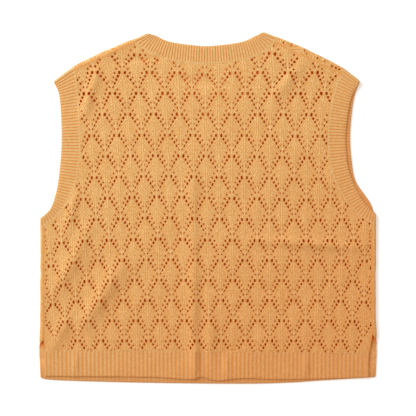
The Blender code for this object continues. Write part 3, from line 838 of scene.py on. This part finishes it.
def plan_to_lace(point):
    """The way back from lace_to_plan."""
    x, y = point.x / MM, point.y / MM
    level = y
    for _ in range(3):
        level = y + row_drop(x, level)
    line = (FIRST_LINE - level) / LINE_DROP
    if line > LOOSE_LINE:
        line = LOOSE_LINE + (line - LOOSE_LINE) * LINE_DROP / (LINE_DROP - LOOSE_EASE)
    middle, width, draw = lace_line(line)
    drawn = across = (x - middle) / width
    for _ in range(3):
        across = drawn + draw * across ** 3
    return across * STITCHES, line * ROWS


def cut_folds(net):
    """Cuts a net along each fold's turns, so that it bends round them smoothly."""
    for fold in FOLDS:
        near = []
        for face in net.faces:
            pasts = [past_fold(vert.co.xy, fold) for vert in face.verts]
            if max(pasts) > 0 and min(pasts) < FOLD_ARC:
                near.append(face)
        edges = {edge for face in near for edge in face.edges}
        verts = {vert for face in near for vert in face.verts}
        near = near + list(edges) + list(verts)
        for step in range(FOLD_STEPS + 1):
            place = fold.start + fold.outward * (FOLD_ARC * step / FOLD_STEPS)
            cut = bmesh.ops.bisect_plane(net, geom=near, dist=0.01 * MM,
                                         plane_co=place.to_3d(), plane_no=fold.outward.to_3d())
            near = cut["geom"]


def line_slits(net):
    """Gives the front its inner side along the slits, where it can be seen."""
    inside = net.verts.layers.float["inside"]
    covered = net.verts.layers.float["covered"]
    strip = []
    for face in net.faces:
        place = face.calc_center_median()
        if place.z == 0 and place.y < SLIT_TOP_RIGHT + LINING_RISE and abs(place.x) > LINING_STARTS:
            strip.append(face)
    lining = bmesh.ops.duplicate(net, geom=strip)["geom"]
    bmesh.ops.reverse_faces(net, faces=[part for part in lining if isinstance(part, bmesh.types.BMFace)])
    for vert in verts_in(lining):
        vert.co.z = -EDGE_WALL
        vert[inside] = LINING_SHADE * vert[covered]


def make_object(name, net, material):
    mesh = bpy.data.meshes.new(name)
    net.to_mesh(mesh)
    net.free()
    mesh.polygons.foreach_set("use_smooth", [True] * len(mesh.polygons))
    mesh.materials.append(material)
    made = bpy.data.objects.new(name, mesh)
    bpy.context.scene.collection.objects.link(made)
    return made


def finish_piece(name, net, material, node):
    """Makes a piece of a net, in place of its CAD node."""
    piece = make_object(name, net, material)
    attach(piece, "root")
    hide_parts(node)
    return piece


def how_covered(outline, point):
    """How far a place of the front's inner side lies out of sight, for its painted shade: less and less
    down a slit.
    """
    slit_top = LEFT_SIDE.slit_top if point.x < 0 else RIGHT_SIDE.slit_top
    if point.y > slit_top:
        return 1.0
    shade = SLIT_SHADE * ease((point.y - slit_top) / SLIT_SHADE_REACH + 1)
    if not outline.contains(point):
        return shade
    return shade + (1 - shade) * ease(outline.nearest(point)[0] / SLIT_SHADE_EDGE)


def map_lace(net, rim_of, covered_by):
    """Gives a net its stitch coordinates, its baking map and how far it lies hidden."""
    knit = net.loops.layers.uv.new("knit")
    bake = net.loops.layers.uv.new("OFBake")
    inside, covered, lip, seam = (
        net.verts.layers.float.new(name) for name in ("inside", "covered", "lip", "seam")
    )
    places = {}
    for vert in net.verts:
        place = vert.co.xy
        if vert.co.z < 0:
            if vert in rim_of:
                vert[inside] = -vert.co.z / LACE_RIM
                place = place.lerp(rim_of[vert].centre, BAKE_RIM * vert[inside])
            else:
                place = place * BAKE_WALL
        elif vert in rim_of:
            # marks the holes' edges for their painted highlight
            vert[lip] = 1.0
        else:
            # marks the cloth's edge, where it turns down, for a painted shade line
            vert[seam] = any(other.co.z < 0 for other in neighbours_of(vert))
        if covered_by is not None:
            vert[covered] = how_covered(covered_by, vert.co)
        places[vert] = (plan_to_lace(vert.co),
                        (place.x / BAKE_WIDTH + 0.5, place.y / BAKE_WIDTH + 0.5))
    for face in net.faces:
        for loop in face.loops:
            loop[knit].uv, loop[bake].uv = places[loop.vert]


BACK_OUTLINE = Outline(back_panel_outline())
FRONT_OUTLINE = Outline(front_panel_outline())


def lay_panel(low, high, outline, dice, courses, edge_depth, covered_by):
    """A panel's net with its holes opened and its edges turned down, and its holes.

    Each course is a run of places, and a test of a place and the holes before that course.
    """
    net, crossings = lay_net(low, high, outline)
    holes = []
    for places, wanted in courses:
        holes += find_holes(crossings, outline, lambda point: wanted(point, holes), places, dice)
    rim_of = open_holes(net, holes)
    turn_down_rims(net, rim_of, edge_depth)
    map_lace(net, rim_of, covered_by)
    return net, holes


def everywhere(point, holes):
    """The test that lets every place pass."""
    return True


def make_back_panel(material):
    """The back: lace with small eyelets beside its side seams. Gives the centres of its holes."""
    def in_lace(point, strays):
        plain = point.y < PLAIN_BELOW and not PLAIN_LEFT < point.x < PLAIN_RIGHT
        if plain or BACK_OUTLINE.nearest(point)[0] <= EDGE_MARGIN:
            return False
        return all((point - hole.centre).length > STRAY_APART for hole in strays)

    low, high = (-90, -26), (90, 166)
    courses = (
        (stray_places(SIDE_EYELETS + BACK_SHOULDER_EYELETS), everywhere),
        (chart_places(low, high, (0, 0)), in_lace),
    )
    net, holes = lay_panel(low, high, BACK_OUTLINE, random.Random(3), courses, LACE_RIM, None)
    for vert in net.verts:
        rise = leaf_rise(vert.co, BACK_OUTLINE) + seam_rise(vert.co)
        vert.co = on_back(vert.co.xy, -CLOTH / 2 - vert.co.z - rise)
    piece = finish_piece("back_lace", net, material, "back_panel")
    return [hole.centre.to_3d() for hole in holes]


def make_front_panel(material, back_centres):
    """The front: its chart is shifted from the back's, so that its leaves lie under the holes."""
    tree = tree_of(back_centres)

    def in_lace(point, holes):
        if FRONT_OUTLINE.nearest(point)[0] <= EDGE_MARGIN:
            return False
        if any(past_fold(point, fold) > -FOLD_MARGIN for fold in FOLDS):
            return False
        return tree.find(point.to_3d())[2] > HOLE_APART

    low, high = (-92, -30), (92, 170)
    courses = (
        (chart_places(low, high, FRONT_SHIFT), in_lace),
        (stray_places(LEFT_SHOULDER_EYELETS, LEFT_SHOULDER), everywhere),
        (stray_places(RIGHT_SHOULDER_EYELETS, RIGHT_SHOULDER), everywhere),
    )
    net, _ = lay_panel(low, high, FRONT_OUTLINE, random.Random(5), courses, EDGE_WALL, BACK_OUTLINE)
    bmesh.ops.reverse_faces(net, faces=net.faces)
    line_slits(net)
    cut_folds(net)
    for vert in net.verts:
        vert.co = wrap(vert.co.xy, -CLOTH / 2 - vert.co.z)
        if vert.co.z > BACK_LEVEL:
            vert.co.z += seam_rise(vert.co)
    piece = finish_piece("front_lace", net, material, "front_panel")


# The ribbed bands.

Station = namedtuple("Station", "seam edge seam_outward edge_outward turn")
RIB_SAMPLES = 6
TURN_STEPS = 12
FLAT_TURN = 1e-6
BAND_CORNER = 3.2
LINKED = 3.0  # mm, the part of a band beside its seam, as wide all the way round
OUTER, INNER = -1, 1

# A corner of a rib's section: how far from the seam, how much over the cloth's face, the share of
# the ribs' height there, and the face.
RibPoint = namedtuple("RibPoint", "across lift rib layer", defaults=[1, OUTER])
HEM_PROFILE = table(RibPoint, (
    (-1.6, 0.03, 0), (-0.9, 0.1, 0.35), (0.1, 0.12, 0.8), (1.6, 0.12), (4, 0.1), (10.6, 0.1),
    (17.2, 0.1), (23.8, 0.1), (30.4, 0.1), (37, 0.1), (38.8, 0, 0.9), (39.6, -0.35, 0.6),
    (HEM_HEIGHT, -1.1, 0), (39.6, -0.5, 0, INNER), (38.5, 0, 0, INNER), (20, 0, 0, INNER),
    (0.3, 0, 0, INNER), (0.25, 0, 0),
))


def band_profile(width):
    """The section of a band: out over the linking ridge and the ribs, and back underneath."""
    return table(RibPoint, (
        (-1.9, 0.04, 0), (-1.1, 0.22, 0), (-0.3, 0.3, 0.1), (0.6, 0.25, 0.5), (1.5, 0.12, 0.9),
        (3, 0.1), (4.8, 0.1), *((4.8 + (width - 8.2) * step / 4, 0.1) for step in range(1, 5)),
        (width - 2.2, -0.15), (width - 1.2, -0.45, 0.9), (width - 0.4, -0.95, 0.7),
        (width, -1.5, 0.3), (width - 0.3, -0.2, 0, INNER), (width - 1.5, 0, 0, INNER),
        (width * 0.5, 0, 0, INNER), (0.4, 0, 0, INNER), (0.35, 0.05, 0),
    ))


def rib_shape(phase, sharpness):
    """The height of a rib across its pitch: a ridge and a groove."""
    return abs(math.cos(math.pi * phase)) ** sharpness - GROOVE_SHARE


def knit_ribs(name, wales, profile, bend, node, material):
    """A rib piece of one section of cloth. Bend gives each corner its place and inner shade."""
    columns, rows = len(wales) - 1, len(profile)
    net = make_grid(columns, rows)
    knit = net.loops.layers.uv.new("knit")
    bake = net.loops.layers.uv.new("OFBake")
    hidden = net.verts.layers.float.new("inside")
    places = grid_places(net, columns, rows)
    for edge in net.edges:
        edge.smooth = not all(places[vert][1] % rows == 0 for vert in edge.verts)
    for vert, (column, row) in places.items():
        point = profile[row % rows]
        for loop in vert.link_loops:
            loop[knit].uv = (wales[column], point.across / RIB_ROW)
            loop[bake].uv = (column / columns, row / rows)
        vert.co, vert[hidden] = bend(column, point)
    bmesh.ops.remove_doubles(net, verts=net.verts, dist=0.001 * MM)
    bmesh.ops.recalc_face_normals(net, faces=net.faces)
    piece = finish_piece(name, net, material, node)


def band_stations(band):
    """A band's ring, from its first end over the back and home over the front."""
    still = Vector((0, 0))
    turns = [math.pi * step / TURN_STEPS for step in range(TURN_STEPS + 1)]

    def turned(end, turns):
        return [Station(end.seam, end.edge, end.seam_outward, end.edge_outward, turn) for turn in turns]

    def lying(seam, edge, turn):
        return [Station(start, end, still, still, turn) for start, end in zip(seam, edge)]

    return (
        lying(band.back_seam, band.back_edge, math.pi) + turned(band.last_end, turns[::-1])
        + lying(band.front_seam, band.front_edge, 0.0)[::-1] + turned(band.first_end, turns)
    )


def even_stations(ring, pitch):
    """The ring with evenly spaced stations, for a whole number of ribs."""
    lengths = [0.0]
    for before, after in zip(ring, ring[1:]):
        step = ((after.seam + after.edge) / 2 - (before.seam + before.edge) / 2).length
        lengths.append(lengths[-1] + step + FOLD_RADIUS * abs(after.turn - before.turn))
    count = round(lengths[-1] / pitch) * RIB_SAMPLES
    even = []
    index = 0
    for number in range(count):
        place = lengths[-1] * number / count
        while lengths[index + 1] < place:
            index += 1
        share = (place - lengths[index]) / max(lengths[index + 1] - lengths[index], 1e-9)
        before, after = ring[index], ring[index + 1]
        *vectors, turn = zip(before, after)
        even.append(Station(*(start.lerp(end, share) for start, end in vectors),
                            turn[0] + (turn[1] - turn[0]) * share))
    return even


def on_band(station, across, inside):
    """A point of a band: across from 0 at its seam to 1 at its edge."""
    plan = station.seam.lerp(station.edge, across)
    if station.turn > math.pi - FLAT_TURN:
        return on_back(plan, inside)
    if station.turn < FLAT_TURN:
        return on_front(plan, inside)
    outward = station.seam_outward.lerp(station.edge_outward, min(max(across, 0), 1)).normalized()
    return on_bend(plan, outward, station.turn, inside)


def corner_cut(turn):
    """How much shorter a band is where it folds, in millimetres: its corner is rounded."""
    past = math.sin(turn)
    return BAND_CORNER * (1 - math.sqrt(1 - past * past)) if turn > 0 else 0.0


def make_band(name, band, pitch, node, material, front_shade=1.0):
    """A ribbed band: a closed ring of ribs with a linking ridge where it joins the panels."""
    stations = even_stations(band_stations(band), pitch)
    width = (stations[0].edge - stations[0].seam).length / MM

    def bend(column, point):
        station = stations[column % len(stations)]
        span = (station.edge - station.seam).length / MM
        across = min(point.across, LINKED) / span
        across += (1 - LINKED / span) * max(point.across - LINKED, 0) / (width - LINKED)
        across *= 1 - corner_cut(station.turn) / span * ease(across * 1.3 - 0.3)
        rib = rib_shape(column / RIB_SAMPLES, BAND_SHARPNESS) * RIB_HEIGHT * point.rib
        inside = point.layer * (CLOTH / 2 + point.lift * MM + rib)
        shade = front_shade if station.turn < FLAT_TURN else 1.0
        return on_band(station, across, inside), shade * (point.layer == INNER)

    wales = [column / RIB_SAMPLES for column in range(len(stations) + 1)]
    knit_ribs(name, wales, band_profile(width), bend, node, material)


def path_point(path, share):
    """The point at a share of a path's length across, by its x."""
    low, high = path[0].x, path[-1].x
    x = low + (high - low) * share
    for before, after in zip(path, path[1:]):
        if after.x >= x:
            return before.lerp(after, (x - before.x) / max(after.x - before.x, 1e-9))
    return path[-1]


def make_hem_rib(name, top_left, top_right, edge_rows, place, node, material):
    """A hem rib: ribs between two plain ends, with a rounded lower edge."""
    edge = smooth_path([mm(*row) for row in edge_rows])
    length = (top_right - top_left).length
    ribs = round(length / HEM_PITCH)
    count = ribs * RIB_SAMPLES
    ends = [end * MM / length for end in HEM_ENDS]
    shares = ends + [number / count for number in range(1, count)
                     if ends[-1] < number / count < 1 - ends[-1]]
    shares += [1 - end for end in reversed(ends)]

    def bend(column, point):
        share = shares[column]
        from_end = min(share, 1 - share) * length
        low = path_point(edge, share)
        if from_end < CORNER_RADIUS:
            reach = CORNER_RADIUS - from_end
            low = low + Vector((0, CORNER_RADIUS - math.sqrt(CORNER_RADIUS ** 2 - reach ** 2)))
        plan = top_left.lerp(top_right, share).lerp(low, point.across / HEM_HEIGHT)
        thin = 1.0
        if from_end < HEM_END_ROUND:
            thin = math.sqrt(max(1 - (1 - from_end / HEM_END_ROUND) ** 2, 0.0))
        ribbed = ease((from_end - HEM_PLAIN_END) / HEM_PLAIN_FADE) * point.rib
        lift = point.lift * MM + rib_shape(share * ribs, HEM_SHARPNESS) * RIB_HEIGHT * ribbed
        if point.layer == OUTER and point.across > 0:
            roll = HEM_ROLL * math.exp(-((from_end - HEM_ROLL_PLACE) / HEM_ROLL_WIDTH) ** 2)
            lift += roll * min(point.across / 3, 1)
        # the lower edge takes the painted deep shade and glow of the hidden side
        return place(plan, point.layer * (CLOTH / 2 + lift) * thin), point.across == HEM_HEIGHT

    wales = [share * ribs for share in shares]
    knit_ribs(name, wales, HEM_PROFILE, bend, node, material)


# The yarn.

class Wiring:
    """A short hand for wiring one node tree."""

    def __init__(self, tree):
        self.tree = tree

    def add(self, kind, inputs=(), **settings):
        node = self.tree.nodes.new(kind)
        for key, value in settings.items():
            setattr(node, key, value)
        for name, value in dict(inputs).items():
            self.feed(node.inputs[name], value)
        return node

    def feed(self, socket, value):
        if isinstance(value, bpy.types.NodeSocket):
            self.tree.links.new(value, socket)
        else:
            socket.default_value = value

    def math(self, operation, *values):
        return self.add("ShaderNodeMath", enumerate(values), operation=operation).outputs[0]

    plus = partialmethod(math, "ADD")
    minus = partialmethod(math, "SUBTRACT")
    times = partialmethod(math, "MULTIPLY")
    scaled = partialmethod(math, "MULTIPLY_ADD")
    most = partialmethod(math, "MAXIMUM")
    fraction = partialmethod(math, "FRACT")
    below_one = partialmethod(math, "SUBTRACT", 1.0)

    def from_half(self, value):
        """How far a value lies from a half, on either side."""
        return self.math("ABSOLUTE", self.minus(value, 0.5))

    def smooth(self, value, low, high):
        inputs = {"Value": value, "From Min": low, "From Max": high}
        return self.add("ShaderNodeMapRange", inputs, interpolation_type="SMOOTHSTEP").outputs[0]

    def mix(self, share, first, second, blend="MIX"):
        inputs = {0: share, 6: first, 7: second}
        return self.add("ShaderNodeMix", inputs, data_type="RGBA", blend_type=blend).outputs[2]

    def vector(self, operation, *values):
        return self.add("ShaderNodeVectorMath", enumerate(values), operation=operation).outputs

    def apart(self, vector):
        return self.add("ShaderNodeSeparateXYZ", {0: vector}).outputs[:2]

    def noise(self, place, scale, detail):
        return self.add("ShaderNodeTexNoise", {"Vector": place, "Scale": scale, "Detail": detail}).outputs

    def attribute(self, name):
        return self.add("ShaderNodeAttribute", attribute_name=name).outputs["Fac"]

    def group(self, tree, inputs):
        return self.add("ShaderNodeGroup", inputs, node_tree=tree).outputs


class Group(Wiring):
    """A node group under work, with its vector or float inputs."""

    def __init__(self, name, kind, *inputs):
        super().__init__(bpy.data.node_groups.new(name, "ShaderNodeTree"))
        for socket in inputs:
            self.tree.interface.new_socket(socket, in_out="INPUT", socket_type=kind)
        self.inside = self.add("NodeGroupInput").outputs

    def give(self, **outputs):
        """Gives the group's outputs, which are all single values."""
        for socket in outputs:
            self.tree.interface.new_socket(socket, in_out="OUTPUT", socket_type="NodeSocketFloat")
        self.add("NodeGroupOutput", outputs)
        return self.tree


def make_stitch_group():
    """Knit stitches: two slanting legs to each wale, one pair above the other."""
    w = Group("knit_stitches", "NodeSocketFloat", "Wale", "Row")
    across = w.from_half(w.fraction(w.inside["Wale"]))
    off_leg = w.times(w.minus(across, 0.25), 4.0)
    depth = w.scaled(w.math("LESS_THAN", off_leg, 0.0), -0.65, 1.0)
    leg = w.below_one(w.times(w.times(off_leg, off_leg), depth))
    slant = w.plus(w.inside["Row"], w.times(across, 1.3))
    wave = w.math("COSINE", w.times(slant, 2 * math.pi))
    height = w.times(leg, w.scaled(wave, 0.3, 0.7))
    crossed = w.below_one(w.smooth(height, 0.0, 0.65))
    return w.give(Height=height, Gap=w.most(crossed, w.smooth(across, 0.2, 0.48)))


def make_leaf_group():
    """Turns the lace's stitch coordinates into the slanting wales of its leaves."""
    w = Group("leaf_wales", "NodeSocketVector", "Stitch")
    stitch, row = w.apart(w.inside["Stitch"])
    p = w.math("DIVIDE", stitch, STITCHES / 2)
    q = w.math("DIVIDE", row, ROWS)
    a = w.fraction(w.scaled(w.plus(p, q), 0.5, VEIN_PLACE + 100))
    b = w.fraction(w.scaled(w.minus(q, p), 0.5, VEIN_PLACE + 100))
    across = w.math("ABSOLUTE", w.minus(a, b))
    down = w.plus(a, b)
    on_spine = w.math("LESS_THAN", across, SPINE_HALF)
    on_side = w.below_one(on_spine)
    # Wales and rows are counted apart on the slanting sides and on the upright spine.
    slanted = w.minus(w.times(across, 4.9), w.times(down, 6.3))
    upright = w.scaled(across, 6.0, 0.5)
    row_slanted = w.plus(w.times(across, 4.4), w.times(down, 9.5))
    from_vein = w.minus(0.5, w.most(w.from_half(a), w.from_half(b)))
    return w.give(
        Wale=w.plus(w.times(on_spine, upright), w.times(on_side, slanted)),
        Row=w.plus(w.times(on_spine, w.times(down, 12.0)), w.times(on_side, row_slanted)),
        Vein=w.below_one(w.smooth(from_vein, 0.02, 0.07)),
        Spine=w.below_one(w.smooth(across, 0.0, 0.4)),
    )


def make_yarn_group():
    """The yarn's own unevenness: a slow drift, a heather and a fine fuzz; and a painted shade towards the
    lower right.
    """
    w = Group("yarn_tone_and_shade", "NodeSocketVector", "Place")
    place = w.inside["Place"]
    slow = w.noise(place, 14.0, 2.0)["Fac"]
    heather = w.noise(place, 340.0, 2.0)["Fac"]
    tone = w.plus(w.times(w.minus(slow, 0.5), 0.5), w.times(w.minus(heather, 0.5), 3.2))
    x, y = w.apart(place)
    # painted shade, rising towards the lower right
    slope = w.minus(w.times(x, 0.6), y)
    return w.give(Tone=w.plus(tone, 0.5), Fuzz=w.noise(place, 1400.0, 3.0)["Fac"],
                  Warmth=w.smooth(slope, -0.15, 0.4))


class Yarn(Wiring):
    """A yarn material under work, with its colour so far."""

    def __init__(self, name, groups, pale, deep):
        self.material = bpy.data.materials.new(name)
        self.material.use_nodes = True
        super().__init__(self.material.node_tree)
        self.stitch = self.add("ShaderNodeUVMap", uv_map="knit").outputs["UV"]
        self.place = self.add("ShaderNodeTexCoord").outputs["Object"]
        tone = self.group(groups["yarn"], {"Place": self.place})
        self.fuzz = self.times(tone["Fuzz"], 0.25)
        self.colour = self.mix(tone["Tone"], deep, pale)
        # painted shade towards the lower right
        self.colour = self.mix(tone["Warmth"], self.colour, LOWER_RIGHT_SHADE, "MULTIPLY")

    def tint(self, share, colour):
        self.colour = self.mix(share, self.colour, colour)

    def finish(self, soaked, height, distance):
        """Wires up the shader: the light that soaks in, the colour and the bump."""
        shader = self.tree.nodes["Principled BSDF"]
        # painted deep shade, with the painted glow below, where the cloth lies hidden: in the holes and
        # on its inner sides
        self.tint(soaked, HOLE_GLOW)
        bump = self.add("ShaderNodeBump", {"Height": self.plus(height, self.fuzz), "Strength": 1.0,
                                           "Distance": distance})
        for socket, value in YARN_SURFACE + (
            ("Base Color", self.colour), ("Emission Color", self.mix(soaked, YARN_GLOW, HOLE_GLOW)),
            ("Normal", bump.outputs["Normal"]),
        ):
            self.feed(shader.inputs[socket], value)
        return self.material


def lace_yarn(groups):
    """Lace knit: chevron wales between raised veins, with painted shade in its gaps and painted deep
    shade inside its holes.
    """
    w = Yarn("lace_yarn", groups, LACE_PALE, LACE_DEEP)
    drift = w.vector("SUBTRACT", w.noise(w.place, 150.0, 1.0)["Color"], (0.5, 0.5, 0.5))["Vector"]
    drift = w.vector("MULTIPLY_ADD", drift, (0.9, 0.9, 0.0), w.stitch)["Vector"]
    leaf = w.group(groups["leaf"], {"Stitch": drift})
    knit = w.group(groups["stitch"], {"Wale": leaf["Wale"], "Row": leaf["Row"]})
    # painted shade in the gaps between the stitches, less of it along the leaves' spines
    w.tint(w.times(knit["Gap"], w.scaled(leaf["Spine"], -0.15, 1.0)), LACE_GAP_SHADE)
    # painted shade line along the panel's edges, where they turn down at the bands and seams
    w.tint(w.times(w.attribute("seam"), 0.5), LACE_GAP_SHADE)
    # painted highlight on the holes' rounded edges and along the raised veins
    w.tint(w.most(w.times(w.attribute("lip"), 0.9), w.times(leaf["Vein"], 0.12)), LACE_PAINTED_HIGHLIGHT)
    behind = w.add("ShaderNodeNewGeometry").outputs["Backfacing"]
    shaded = w.times(w.most(w.attribute("covered"), 0.25), behind)
    soaked = w.most(w.smooth(w.attribute("inside"), 0.0, 0.4), shaded)
    height = w.times(knit["Height"], 0.5)
    height = w.scaled(leaf["Vein"], 0.2, height)
    height = w.scaled(leaf["Spine"], 0.45, height)
    return w.finish(soaked, height, 0.7 * MM)


def rib_yarn(groups, name, pale, deep, groove_shade_share):
    """Rib knit: one upright wale of stitches along each ridge, with painted shade in the grooves."""
    w = Yarn(name, groups, pale, deep)
    wale, row = w.apart(w.stitch)
    ridge = w.times(w.from_half(w.fraction(wale)), 2.0)
    # painted shade in the grooves between the ribs
    groove = w.times(w.below_one(w.smooth(ridge, 0.1, 0.7)), groove_shade_share)
    w.tint(w.times(groove, w.smooth(row, 0.0, 0.7)), LACE_GAP_SHADE)
    knit = w.group(groups["stitch"], {"Wale": w.plus(wale, 0.5), "Row": row})
    # the bands' hidden inner side takes part of the painted deep shade and glow
    return w.finish(w.times(w.attribute("inside"), 0.2), w.times(knit["Height"], 0.5), 0.5 * MM)


def seen_straight(w):
    """1 for the rays that show the background, and 0 for those that only light the cloth."""
    ray = w.add("ShaderNodeLightPath").outputs
    return w.most(w.most(ray["Is Camera Ray"], ray["Is Glossy Ray"]), ray["Is Transmission Ray"])


def paper():
    """White paper, tinted under the garment by the light that comes through the yarn."""
    material = bpy.data.materials.new("white_paper")
    material.use_nodes = True
    w = Wiring(material.node_tree)
    place = w.add("ShaderNodeTexCoord").outputs["Object"]
    x, y = w.apart(place)
    across = w.math("POWER", w.math("DIVIDE", x, COVERED_X), 4.0)
    along = w.math("POWER", w.math("DIVIDE", y, COVERED_Y), 4.0)
    shade = w.mix(w.smooth(w.plus(across, along), 0.985, 1.0), COVERED_PAPER, PAPER)
    far = w.vector("LENGTH", place)["Value"]
    lift = w.scaled(w.smooth(far, LIFT_STARTS, LIFT_FULL), 1.0 - PAPER_LIFT, PAPER_LIFT)
    for socket, value in PAPER_SURFACE + (
        ("Base Color", shade), ("Emission Color", shade),
        ("Emission Strength", w.times(seen_straight(w), lift)),
    ):
        w.feed(material.node_tree.nodes["Principled BSDF"].inputs[socket], value)
    return material


def make_floor():
    sheet = make_grid(1, 1)
    for vert in sheet.verts:
        vert.co = (2 * PAPER_HALF * vert.co.x, 2 * PAPER_HALF * vert.co.y, -PAPER_DROP)
    make_object("floor", sheet, paper())


def area_light(name, place, size, power):
    """A square lamp that faces the garment."""
    data = bpy.data.lights.new(name, "AREA")
    data.shape = "RECTANGLE"
    data.size = data.size_y = size
    data.energy = power
    data.color = LAMP_COLOUR
    lamp = bpy.data.objects.new(name, data)
    lamp.location = place
    lamp.rotation_mode = "QUATERNION"
    lamp.rotation_quaternion = Vector(place).to_track_quat("Z", "Y")
    bpy.context.scene.collection.objects.link(lamp)


def make_studio():
    scene = bpy.context.scene
    scene.view_settings.view_transform = "Standard"
    world = bpy.data.worlds.new("studio")
    world.use_nodes = True
    w = Wiring(world.node_tree)
    seen = seen_straight(w)
    sky = world.node_tree.nodes["Background"].inputs
    w.feed(sky["Color"], w.mix(seen, WARM_SKY, (1, 1, 1, 1)))
    w.feed(sky["Strength"], w.scaled(seen, 1 - SKY_STRENGTH, SKY_STRENGTH))
    scene.world = world
    area_light("key", (-2.6, 2.1, 2.2), 2.2, 172)
    area_light("fill", (2.2, -0.6, 2.0), 1.8, 15)
    data = bpy.data.cameras.new("camera")
    data.lens = LENS
    data.sensor_width = SENSOR
    camera = bpy.data.objects.new("camera", data)
    camera.location = (0, 0, VIEW_LEVEL + VIEW_WIDTH * LENS / SENSOR)
    scene.collection.objects.link(camera)
    scene.camera = camera


def make_pullover():
    groups = {"stitch": make_stitch_group(), "leaf": make_leaf_group(), "yarn": make_yarn_group()}
    lace = lace_yarn(groups)
    rib = rib_yarn(groups, "band_yarn", BAND_PALE, BAND_DEEP, BAND_GROOVE_SHADE)
    hem = rib_yarn(groups, "hem_yarn", HEM_PALE, HEM_DEEP, HEM_GROOVE_SHADE)
    make_front_panel(lace, make_back_panel(lace))
    make_band("neck_rib", COLLAR, NECK_PITCH, "neck_band", rib, COVERED_SHADE)
    make_band("armhole_rib_left", LEFT_ARMHOLE, ARM_PITCH, "armhole_band_left", rib)
    make_band("armhole_rib_right", RIGHT_ARMHOLE, ARM_PITCH, "armhole_band_right", rib)
    left = slit_edge(LEFT_SIDE, hem_seam(-SIDE_SEAM))
    right = slit_edge(RIGHT_SIDE, hem_seam(SIDE_SEAM))
    make_hem_rib("back_hem", left, right, BACK_HEM_EDGE, on_back, "back_hem_rib", hem)
    left = Vector((-VENT_HALF_WIDTH, FRONT_HEM_SEAM))
    right = Vector((VENT_HALF_WIDTH, FRONT_HEM_SEAM))
    make_hem_rib("front_hem", left, right, FRONT_HEM_EDGE, on_front, "front_hem_rib", hem)


make_studio()
make_floor()
make_pullover()
